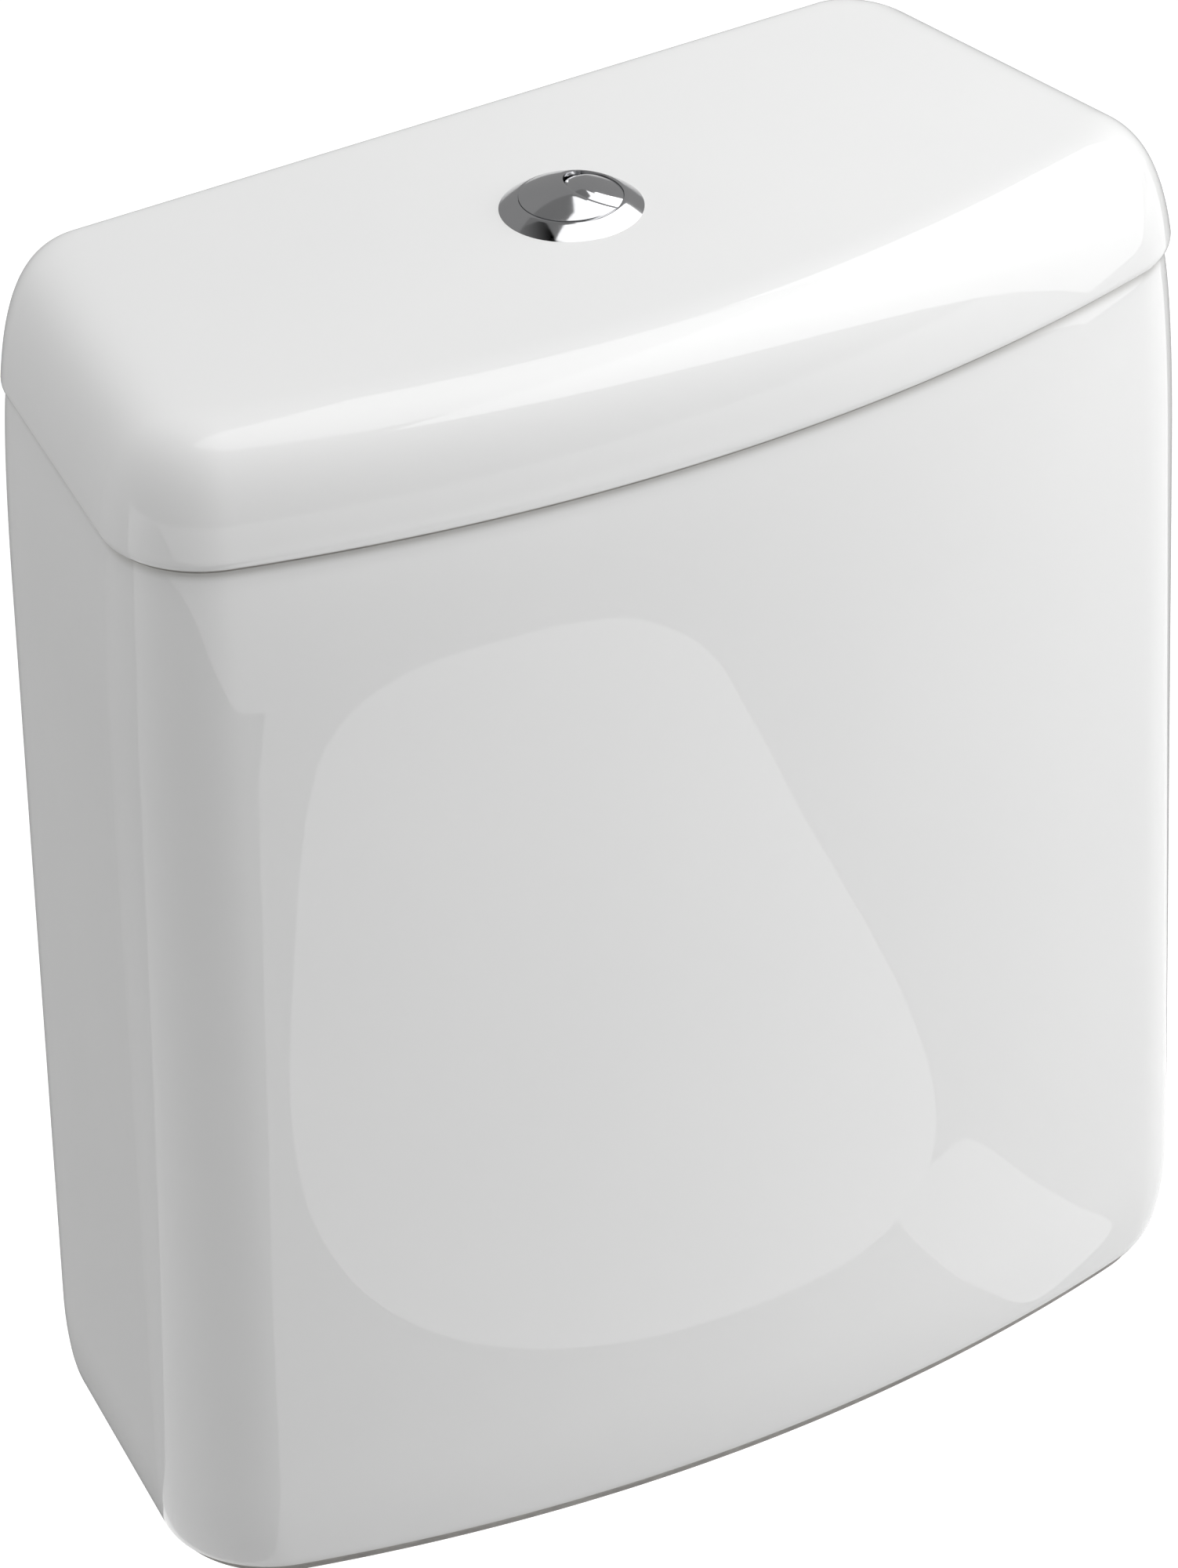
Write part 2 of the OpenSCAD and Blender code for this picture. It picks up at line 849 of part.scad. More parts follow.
neck_over = 0.42;
neck_r = supply_r + neck_over;
supply_flange_r = 18;
supply_nut_r = 18;
supply_nut_tall = 12;
collar_wall = 2.5;
collar_r = riser_r + collar_wall;
socket_rise = 11;
socket_deep = 20;
socket_z = flange_top + socket_rise;
collar_z = socket_z + socket_deep;
riser_bore_r = 8;
riser_nut_tall = 10;
riser_nut_over = 3;
riser_nut_r = collar_r + riser_nut_over;
head_z = floor_z + head_height;
head_socket = 12;
head_tall = 30;
head_top = head_z + head_tall;
spout_r = 7.5;
spout_rise = 12;
spout_z = head_z + spout_rise;
nozzle_drop = 24;
silencer_wall = 1.5;
silencer_lift = 28;
silencer_z = floor_z + silencer_lift;
diaphragm_thick = 3.6;
diaphragm_r = 17;
cap_wall = 2.2;
cap_skirt = 10;
cap_tall = 14;
cap_top = head_top + cap_tall;
cap_hollow_r = 14;
cap_hollow = 9;

module supply_shank() {
    color(brass)
        at_fill()
            difference() {
                union() {
                    rod(supply_r, -supply_drop, foot_height - supply_nut_tall);
                    rod(neck_r, foot_height - supply_nut_tall, flange_z);
                    rod(supply_flange_r, flange_z, flange_top);
                    rod(collar_r, flange_top, collar_z);
                }
                rod(supply_bore_r, -supply_drop - cut_over, collar_z + cut_over);
                rod(riser_r + run_gap, socket_z, collar_z + cut_over);
            }
}

module supply_washer() {
    color(rubber)
        at_fill()
            sleeve(neck_r + rest_gap, supply_flange_r, floor_z, flange_z);
}

module supply_nut() {
    color(brass)
        at_fill()
            hex_nut(supply_nut_r, neck_r + thread_gap, foot_height - supply_nut_tall, foot_height);
}

filter_tall = 16;
filter_wall = 1;
filter_lift = 2;

module supply_filter() {
    z0 = filter_lift - supply_drop;
    outer_r = supply_bore_r - run_gap;
    color(white_plastic)
        at_fill()
            difference() {
                rod(outer_r, z0, z0 + filter_tall);
                rod(outer_r - filter_wall, z0 - cut_over, z0 + filter_tall - filter_wall);
            }
}

// Riser with the ledge on which the empty float rests
float_slack = 3;
float_in_r = riser_r + float_slack;
float_arm_tilt = asin(float_travel / 2 / float_arm);
float_pin_rise = 9;
float_pin_z = cap_top + float_pin_rise;
float_nose_r = 2;
link_top = float_pin_z - float_travel / 2 - float_nose_r - rest_gap;
link_y = -(plunger_arm + float_arm);
float_below_head = 18;
float_top = head_z - float_below_head;
float_z = float_top - float_tall;
ledge_tall = 3;
ledge_over = 1.5;
ledge_r = float_in_r + ledge_over;

module riser() {
    color(white_plastic)
        at_fill()
            difference() {
                union() {
                    rod(riser_r, socket_z, head_z + head_socket);
                    rod(ledge_r, float_z - rest_gap - ledge_tall, float_z - rest_gap);
                }
                rod(riser_bore_r, socket_z - cut_over, head_z + head_socket + cut_over);
            }
}

module riser_nut() {
    color(blue_plastic)
        at_fill()
            hex_nut(riser_nut_r, riser_r + thread_gap, collar_z, collar_z + riser_nut_tall);
}

module valve_head() {
    color(white_plastic)
        at_fill()
            difference() {
                union() {
                    rod(head_r, head_z, head_top);
                    translate([0, 0, spout_z])
                        pin_y(spout_r, head_r / 2, spout_out);
                    translate([0, spout_out, 0])
                        rod(spout_r, spout_z - nozzle_drop, spout_z + spout_r);
                }
                rod(riser_r + run_gap, head_z - cut_over, head_z + head_socket);
                rod(supply_bore_r, head_z, head_top);
                rod(diaphragm_r, head_top - diaphragm_thick, head_top + cut_over);
            }
}

module diaphragm() {
    color(rubber)
        at_fill()
            rod(diaphragm_r - rest_gap, head_top - diaphragm_thick, head_top);
}

float_pin_r = 1.5;
float_lever_wide = 10;
ear_thick = 3;
ear_gap = 0.4;
ear_deep = 8;
plunger_r = 2;
plunger_head_r = 3;
plunger_drop = 2 * plunger_arm * sin(float_arm_tilt);
plunger_top = float_pin_z + plunger_drop / 2 - float_nose_r - rest_gap;
plunger_deep = 6;
plunger_head_tall = 1.5;
plunger_z = cap_top - plunger_deep;

module head_cap() {
    ear_x = float_lever_wide / 2 + ear_gap;
    color(blue_plastic)
        at_fill()
            difference() {
                union() {
                    rod(head_r + rest_gap + cap_wall, head_top - cap_skirt, cap_top);
                    for (x = [-ear_x - ear_thick, ear_x])
                        block(
                            [x, -plunger_arm - ear_deep / 2, cap_top - cut_over],
                            [x + ear_thick, -plunger_arm + ear_deep / 2, float_pin_z + ear_deep / 2]
                        );
                }
                rod(head_r + rest_gap, head_top - cap_skirt - cut_over, head_top);
                rod(cap_hollow_r, head_top - cut_over, head_top + cap_hollow);
                rod(plunger_r + run_gap, head_top, cap_top + cut_over);
                translate([0, -plunger_arm, float_pin_z])
                    pin_x(float_pin_r, -head_r, head_r);
            }
}

module plunger() {
    color(red_plastic)
        at_fill()
            union() {
                rod(plunger_r, plunger_z, plunger_top);
                rod(plunger_head_r, plunger_top - plunger_head_tall, plunger_top);
            }
}

float_lever_thick = 2.4;
float_hub_wall = 2;

module float_lever() {
    half = float_lever_wide / 2;
    color(red_plastic)
        at_fill()
            translate([0, -plunger_arm, float_pin_z])
                rotate([float_arm_tilt, 0, 0])
                    difference() {
                        union() {
                            pin_x(float_pin_r + float_hub_wall, -half, half);
                            translate([0, plunger_arm, 0])
                                pin_x(float_nose_r, -half, half);
                            translate([0, -float_arm, 0])
                                pin_x(float_nose_r, -half, half);
                            block(
                                [-half, -float_arm, -float_lever_thick / 2],
                                [half, plunger_arm, float_lever_thick / 2]
                            );
                        }
                        pin_x(float_pin_r + run_gap, -half - cut_over, half + cut_over);
                    }
}

module float_lever_pin() {
    reach = float_lever_wide / 2 + ear_gap + ear_thick;
    color(steel)
        at_fill()
            translate([0, -plunger_arm, float_pin_z])
                pin_x(float_pin_r, -reach, reach);
}

link_r = 2.5;
link_pad_r = 3;
link_pad_tall = 3;

module float_link() {
    color(white_plastic)
        at_fill()
            translate([0, link_y, 0])
                union() {
                    rod(link_r, float_top, link_top);
                    rod(link_pad_r, link_top - link_pad_tall, link_top);
                }
}

float_roof = 4;

module float_cup() {
    color(grey_plastic)
        at_fill()
            difference() {
                sleeve(float_in_r, float_r, float_z, float_top);
                sleeve(float_in_r + float_wall, float_r - float_wall,
                    float_z - cut_over, float_top - float_roof);
            }
}

module silencer_tube() {
    color(grey_plastic)
        at_fill()
            translate([0, spout_out, 0])
                sleeve(spout_r + thread_gap, spout_r + thread_gap + silencer_wall,
                    silencer_z, spout_z - spout_r - rest_gap);
}

// Fixings that couple the tank to the pan

bolt_seal_tall = 6;
bolt_seal_r = 13;
bolt_seal_top_r = 10;
bolt_washer_thick = 2;
bolt_washer_r = 11;
bolt_head_tall = 6;
bolt_head_r = 7.5;
bolt_seal_z = floor_z + bolt_seal_tall;
bolt_head_z = bolt_seal_z + bolt_washer_thick;
pan_washer_thick = 3;
pan_washer_r = 12;
wing_hub_r = 8;
wing_hub_tall = 10;
wing_span = 30;
wing_thick = 4;
wing_lift = 4;

module coupling_bolts() {
    color(steel)
        at_bolts()
            union() {
                translate([0, 0, bolt_head_z])
                    cylinder(r = bolt_head_r, h = bolt_head_tall, $fn = 6);
                rod(bolt_r, 0, bolt_head_z);
                rod(shank_r, -pan_gap, 0);
                rod(bolt_r, -bolt_drop, -pan_gap);
            }
}

module bolt_seals() {
    color(rubber)
        at_bolts()
            difference() {
                translate([0, 0, floor_z])
                    cylinder(r1 = bolt_seal_r, r2 = bolt_seal_top_r, h = bolt_seal_tall);
                rod(bolt_r + rest_gap, floor_z - cut_over, bolt_seal_z + cut_over);
            }
}

module bolt_washers() {
    color(steel)
        at_bolts()
            sleeve(bolt_r + rest_gap, bolt_washer_r, bolt_seal_z, bolt_head_z);
}

module pan_washers() {
    color(rubber)
        at_bolts()
            sleeve(bolt_r + rest_gap, pan_washer_r, -pan_gap - pan_washer_thick, -pan_gap);
}

module wing_nuts() {
    top = -pan_gap - pan_washer_thick;
    color(steel)
        at_bolts()
            difference() {
                union() {
                    rod(wing_hub_r, top - wing_hub_tall, top);
                    block(
                        [-wing_span / 2, -wing_thick / 2, top - wing_hub_tall - wing_lift],
                        [wing_span / 2, wing_thick / 2, top - wing_lift]
                    );
                }
                rod(bolt_r + thread_gap, top - wing_hub_tall - wing_lift - cut_over, top + cut_over);
            }
}

tank();
lid();
button_bezel();
full_flush_key();
half_flush_key();
button_nut();
full_push_rod();
half_push_rod();
full_return_spring();
half_return_spring();
valve_base();
base_washer();
base_nut();
pan_seal();
valve_cage();
full_flush_tube();
main_seal();
flush_float();
overflow_tube();
half_seal();
full_lever();
half_lever();
lever_pin();
supply_shank();
supply_washer();
supply_nut();
supply_filter();
riser();
riser_nut();
valve_head();
diaphragm();
head_cap();
plunger();
float_lever();
float_lever_pin();
float_link();
float_cup();
silencer_tube();
coupling_bolts();
bolt_seals();
bolt_washers();
pan_washers();
wing_nuts();
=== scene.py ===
"""Studio scene of a close coupled cistern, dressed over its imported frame."""

from __future__ import annotations

import json
import logging
import math
from dataclasses import dataclass, field
from enum import Enum
from typing import Any, Callable, Sequence

import bmesh
import bpy
from mathutils import Matrix, Vector

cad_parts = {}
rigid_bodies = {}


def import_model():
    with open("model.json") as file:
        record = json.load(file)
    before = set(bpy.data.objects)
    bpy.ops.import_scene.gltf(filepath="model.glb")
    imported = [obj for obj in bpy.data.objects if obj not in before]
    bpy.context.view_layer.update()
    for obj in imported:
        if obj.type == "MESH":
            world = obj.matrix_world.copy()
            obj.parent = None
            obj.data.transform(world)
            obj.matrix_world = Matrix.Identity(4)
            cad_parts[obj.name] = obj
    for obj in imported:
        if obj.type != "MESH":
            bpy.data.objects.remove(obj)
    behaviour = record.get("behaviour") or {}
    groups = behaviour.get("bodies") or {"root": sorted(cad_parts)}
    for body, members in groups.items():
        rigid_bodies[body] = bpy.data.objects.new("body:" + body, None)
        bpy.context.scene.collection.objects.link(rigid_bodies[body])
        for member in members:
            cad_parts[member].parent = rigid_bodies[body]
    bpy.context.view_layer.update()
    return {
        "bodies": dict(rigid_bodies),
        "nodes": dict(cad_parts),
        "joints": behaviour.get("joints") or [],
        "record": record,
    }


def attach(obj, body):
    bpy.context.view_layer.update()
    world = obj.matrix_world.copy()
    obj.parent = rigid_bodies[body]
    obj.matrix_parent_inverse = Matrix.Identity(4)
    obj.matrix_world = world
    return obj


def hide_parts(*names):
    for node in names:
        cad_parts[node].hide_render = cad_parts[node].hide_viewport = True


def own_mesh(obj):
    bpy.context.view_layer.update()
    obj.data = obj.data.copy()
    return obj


log = logging.getLogger("cistern")

MM = 0.001

Point = tuple[float, float, float]
Pair = tuple[float, float]
Radius = float | Callable[[float], float]
Colour = tuple[float, float, float]


class Slot(Enum):
    """The record's material slots."""

    CHINA = "china"
    CHROME = "chrome"
    WHITE = "white_plastic"
    GREY = "grey_plastic"
    BLUE = "blue_plastic"
    RED = "red_plastic"
    RUBBER = "rubber"
    STEEL = "steel"
    BRASS = "brass"


class Ends(Enum):
    """What a skin does with its first and last ring."""

    LOOP = "loop"
    CAPS = "caps"


class Body(Enum):
    """The frame's moving bodies."""

    TANK = "tank"
    LID = "lid"
    FULL_KEY = "full_key"
    HALF_KEY = "half_key"
    FULL_LEVER = "full_lever"
    HALF_LEVER = "half_lever"
    FULL_TUBE = "full_tube"
    OVERFLOW = "overflow"
    FLOAT = "float"
    FLOAT_LEVER = "float_lever"
    PLUNGER = "plunger"


class Graph:
    """A material's node graph, built from the shader outwards."""

    def __init__(self, name: str) -> None:
        """Starts a material with one principled shader.

        Args:
            name: Name of the material.
        """
        self.material = bpy.data.materials.new(name)
        self.material.use_nodes = True
        self.nodes = self.material.node_tree.nodes
        self.links = self.material.node_tree.links
        self.shader = self.nodes["Principled BSDF"]
        self.place = self.nodes.new("ShaderNodeTexCoord").outputs["Object"]

    def constant(self, **values: Any) -> None:
        """Sets sockets of the shader by name, with _ for a space.

        Args:
            **values: Socket names and their values.
        """
        for key, value in values.items():
            self.shader.inputs[key.replace("_", " ")].default_value = value

    def noise(self, scale: float, detail: float = 3.0, stretch: Point = (1.0, 1.0, 1.0)) -> Any:
        """Adds a noise over the object's own coordinates.

        Args:
            scale: Grains for each metre.
            detail: Octaves of the noise.
            stretch: Factors on the three axes.

        Returns:
            The noise's value socket.
        """
        mapping = self.nodes.new("ShaderNodeMapping")
        mapping.inputs["Scale"].default_value = stretch
        self.links.new(self.place, mapping.inputs["Vector"])
        noise = self.nodes.new("ShaderNodeTexNoise")
        noise.inputs["Scale"].default_value = scale
        noise.inputs["Detail"].default_value = detail
        self.links.new(mapping.outputs["Vector"], noise.inputs["Vector"])
        return noise.outputs["Fac"]

    def rings(self, scale: float) -> Any:
        """Adds fine rings round the upright axis, as a lathe leaves them.

        Args:
            scale: Rings for each metre, roughly.

        Returns:
            The pattern's value socket.
        """
        wave = self.nodes.new("ShaderNodeTexWave")
        wave.bands_direction = "Z"
        wave.inputs["Scale"].default_value = scale
        wave.inputs["Distortion"].default_value = 1.5
        wave.inputs["Detail"].default_value = 2.0
        self.links.new(self.place, wave.inputs["Vector"])
        return wave.outputs["Fac"]

    def tone(self, source: Any, dark: Colour, light: Colour, low: float = 0.3, high: float = 0.7) -> None:
        """Feeds the base colour from a pattern.

        Args:
            source: The pattern's value socket.
            dark: Colour at low values.
            light: Colour at high values.
            low: Value at which the colour starts to change.
            high: Value at which it has changed.
        """
        ramp = self.nodes.new("ShaderNodeValToRGB")
        ramp.color_ramp.elements[0].position = low
        ramp.color_ramp.elements[0].color = (*dark, 1.0)
        ramp.color_ramp.elements[1].position = high
        ramp.color_ramp.elements[1].color = (*light, 1.0)
        self.links.new(source, ramp.inputs["Fac"])
        self.links.new(ramp.outputs["Color"], self.shader.inputs["Base Color"])

    def paint_shade_band(self, name: str, colour: Colour) -> None:
        """Brings in the tone of a painted shade where a value stored on the mesh rises.

        Args:
            name: Name of the stored value.
            colour: The painted shade's tone where that value is one.
        """
        base = self.shader.inputs["Base Color"]
        stored = self.nodes.new("ShaderNodeAttribute")
        stored.attribute_name = name
        mix = self.nodes.new("ShaderNodeMix")
        mix.data_type = "RGBA"
        self.links.new(stored.outputs["Fac"], mix.inputs[0])
        self.links.new(base.links[0].from_socket, mix.inputs[6])
        mix.inputs[7].default_value = (*colour, 1.0)
        self.links.new(mix.outputs[2], base)

    def gloss(self, source: Any, low: float, high: float) -> None:
        """Feeds the roughness from a pattern.

        Args:
            source: The pattern's value socket.
            low: Roughness at low values.
            high: Roughness at high values.
        """
        span = self.nodes.new("ShaderNodeMapRange")
        span.inputs["From Min"].default_value = 0.3
        span.inputs["From Max"].default_value = 0.7
        span.inputs["To Min"].default_value = low
        span.inputs["To Max"].default_value = high
        self.links.new(source, span.inputs["Value"])
        self.links.new(span.outputs["Result"], self.shader.inputs["Roughness"])

    def seen_glow(self, strength: float) -> None:
        """Lifts the tone for the camera and for mirrored and refracted rays, without lighting anything.

        Args:
            strength: Strength of the glow.
        """
        path = self.nodes.new("ShaderNodeLightPath")
        total: Any = None
        for word in ("Is Camera Ray", "Is Glossy Ray", "Is Transmission Ray"):
            if total is None:
                total = path.outputs[word]
                continue
            either = self.nodes.new("ShaderNodeMath")
            either.operation = "MAXIMUM"
            self.links.new(total, either.inputs[0])
            self.links.new(path.outputs[word], either.inputs[1])
            total = either.outputs["Value"]
        level = self.nodes.new("ShaderNodeMath")
        level.operation = "MULTIPLY"
        level.inputs[1].default_value = strength
        self.links.new(total, level.inputs[0])
        self.links.new(level.outputs["Value"], self.shader.inputs["Emission Strength"])

    def stored_glow(self, name: str) -> None:
        """Takes the glow from a value stored on the mesh.

        Args:
            name: Name of the stored value.
        """
        stored = self.nodes.new("ShaderNodeAttribute")
        stored.attribute_name = name
        self.links.new(stored.outputs["Fac"], self.shader.inputs["Emission Strength"])

    def relief(self, layers: Sequence[tuple[Any, float, float]]) -> None:
        """Feeds the normal from one or more height patterns.

        Args:
            layers: For each pattern its socket, its strength and its depth in metres.
        """
        normal = None
        for source, strength, depth in layers:
            bump = self.nodes.new("ShaderNodeBump")
            bump.inputs["Strength"].default_value = strength
            bump.inputs["Distance"].default_value = depth
            self.links.new(source, bump.inputs["Height"])
            if normal is not None:
                self.links.new(normal, bump.inputs["Normal"])
            normal = bump.outputs["Normal"]
        if normal is not None:
            self.links.new(normal, self.shader.inputs["Normal"])


@dataclass(frozen=True)
class Glaze:
    """White gloss glaze over fired clay, darkened with painted shade towards the lid's seam and the tank's
    foot.
    """

    dark: Colour = (0.795, 0.797, 0.795)
    light: Colour = (0.812, 0.813, 0.810)
    # thin: tone of the painted shade that darkens the glaze near the seam and the foot
    thin: Colour = (0.60, 0.595, 0.58)
    smooth: float = 0.010
    dull: float = 0.028

    def material(self) -> bpy.types.Material:
        """Builds the finish.

        Returns:
            The material.
        """
        graph = Graph("white_glaze")
        graph.constant(IOR=1.52)
        graph.tone(graph.noise(7.0, 4.0), self.dark, self.light)
        # the stored thin value lays painted shade over the glaze near the seam and the foot
        graph.paint_shade_band("thin", self.thin)
        graph.gloss(graph.noise(35.0, 3.0), self.smooth, self.dull)
        graph.relief([(graph.noise(55.0, 1.0), 0.05, 0.0004), (graph.noise(520.0, 2.0), 0.03, 0.00005)])
        return graph.material


@dataclass(frozen=True)
class ClayAndPaintedShade:
    """Fired clay where the glaze was wiped off, toned far darker than the clay itself as painted shade of the
    gaps at the foot and the seam.
    """

    # Bare clay tones, darkened as painted shade of the gaps at the foot and the lid's seam.
    dark: Colour = (0.30, 0.29, 0.275)
    light: Colour = (0.40, 0.385, 0.365)

    def material(self) -> bpy.types.Material:
        """Builds the finish.

        Returns:
            The material.
        """
        graph = Graph("bare_clay_painted_shade")
        graph.constant(Roughness=0.9)
        graph.tone(graph.noise(160.0, 6.0), self.dark, self.light)
        graph.relief([(graph.noise(900.0, 4.0), 0.4, 0.0003)])
        return graph.material


@dataclass(frozen=True)
class Metal:
    """Bright metal with fine marks."""

    name: str
    dark: Colour
    light: Colour
    smooth: float
    dull: float
    grain: float
    stretch: Point = (1.0, 1.0, 1.0)
    turned: bool = False
    depth: float = 0.00004

    def material(self) -> bpy.types.Material:
        """Builds the finish.

        Returns:
            The material.
        """
        graph = Graph(self.name)
        graph.constant(Metallic=1.0)
        graph.tone(graph.noise(40.0, 4.0), self.dark, self.light)
        marks = graph.noise(self.grain, 4.0, self.stretch)
        graph.gloss(marks, self.smooth, self.dull)
        layers = [(marks, 0.15, self.depth)]
        if self.turned:
            layers.append((graph.rings(420.0), 0.12, 0.00006))
        graph.relief(layers)
        return graph.material


@dataclass(frozen=True)
class Plastic:
    """Moulded plastic with a satin skin."""

    name: str
    dark: Colour
    light: Colour
    smooth: float = 0.30
    dull: float = 0.42

    def material(self) -> bpy.types.Material:
        """Builds the finish.

        Returns:
            The material.
        """
        graph = Graph(self.name)
        graph.constant(IOR=1.48)
        graph.tone(graph.noise(28.0, 4.0), self.dark, self.light)
        graph.gloss(graph.noise(90.0, 3.0), self.smooth, self.dull)
        graph.relief([(graph.noise(1400.0, 2.0), 0.12, 0.00005), (graph.noise(60.0, 1.0), 0.05, 0.0002)])
        return graph.material


@dataclass(frozen=True)
class Rubber:
    """Black moulded rubber with a faint bloom."""

    dark: Colour = (0.018, 0.018, 0.019)
    light: Colour = (0.045, 0.045, 0.047)

    def material(self) -> bpy.types.Material:
        """Builds the finish.

        Returns:
            The material.
        """
        graph = Graph("black_rubber")
        graph.tone(graph.noise(110.0, 5.0), self.dark, self.light)
        graph.gloss(graph.noise(240.0, 3.0), 0.62, 0.80)
        graph.relief([(graph.noise(1700.0, 3.0), 0.2, 0.00008)])
        return graph.material


FINISHES: dict[Slot, Any] = {
    Slot.CHINA: Glaze(),
    Slot.CHROME: Metal("chrome_plate", (0.74, 0.745, 0.76), (0.80, 0.80, 0.81), 0.08, 0.12, 260.0),
    Slot.WHITE: Plastic("white_plastic", (0.78, 0.785, 0.775), (0.84, 0.845, 0.84)),
    Slot.GREY: Plastic("grey_plastic", (0.36, 0.385, 0.41), (0.42, 0.445, 0.47)),
    Slot.BLUE: Plastic("blue_plastic", (0.050, 0.13, 0.30), (0.070, 0.165, 0.36)),
    Slot.RED: Plastic("red_plastic", (0.40, 0.048, 0.040), (0.48, 0.066, 0.055)),
    Slot.RUBBER: Rubber(),
    Slot.STEEL: Metal(
        "zinc_plate", (0.54, 0.55, 0.56), (0.66, 0.66, 0.65), 0.22, 0.38, 700.0, (1.0, 1.0, 0.12)
    ),
    Slot.BRASS: Metal("turned_brass", (0.66, 0.47, 0.20), (0.76, 0.57, 0.27), 0.18, 0.30, 500.0, turned=True),
}


def rounded(profile: Sequence[Pair], radius: float, steps: int = 3) -> list[Pair]:
    """Rounds the corners of a closed profile.

    Args:
        profile: Corners as radius and height, in millimetres.
        radius: Radius of the rounding, cut down where a side is short.
        steps: Number of steps in each corner.

    Returns:
        The rounded profile.
    """
    result: list[Pair] = []
    count = len(profile)
    for i, corner in enumerate(profile):
        here = Vector(corner)
        back = Vector(profile[i - 1]) - here
        ahead = Vector(profile[(i + 1) % count]) - here
        cut = min(radius, 0.45 * back.length, 0.45 * ahead.length)
        start, end = here + back.normalized() * cut, here + ahead.normalized() * cut
        for k in range(steps + 1):
            t = k / steps
            point = start * (1 - t) ** 2 + here * (2 * t * (1 - t)) + end * t**2
            result.append((point.x, point.y))
    return result


def ribbed(radius: float, count: int, depth: float) -> Callable[[float], float]:
    """A round outline with shallow grooves, for grips.

    Args:
        radius: Greatest radius.
        count: Number of grooves.
        depth: Depth of a groove.

    Returns:
        The radius as a function of the angle.
    """
    return lambda a: radius - depth * (0.5 - 0.5 * math.cos(count * a)) ** 3


def hexagon(radius: float, limit: float = 1e9) -> Callable[[float], float]:
    """A six-sided outline with its corners at radius, cut off at limit.

    Args:
        radius: Distance of the corners from the axis.
        limit: Greatest radius, for the chamfer.

    Returns:
        The radius as a function of the angle.
    """
    flat = radius * math.cos(math.pi / 6)
    return lambda a: min(limit, flat / math.cos((a % (math.pi / 3)) - math.pi / 6))


def move(x: float = 0.0, y: float = 0.0, z: float = 0.0) -> Matrix:
    """A shift in millimetres."""
    return Matrix.Translation((x, y, z))


def spin(degrees: float, axis: str) -> Matrix:
    """A turn about an axis."""
    return Matrix.Rotation(math.radians(degrees), 4, axis)


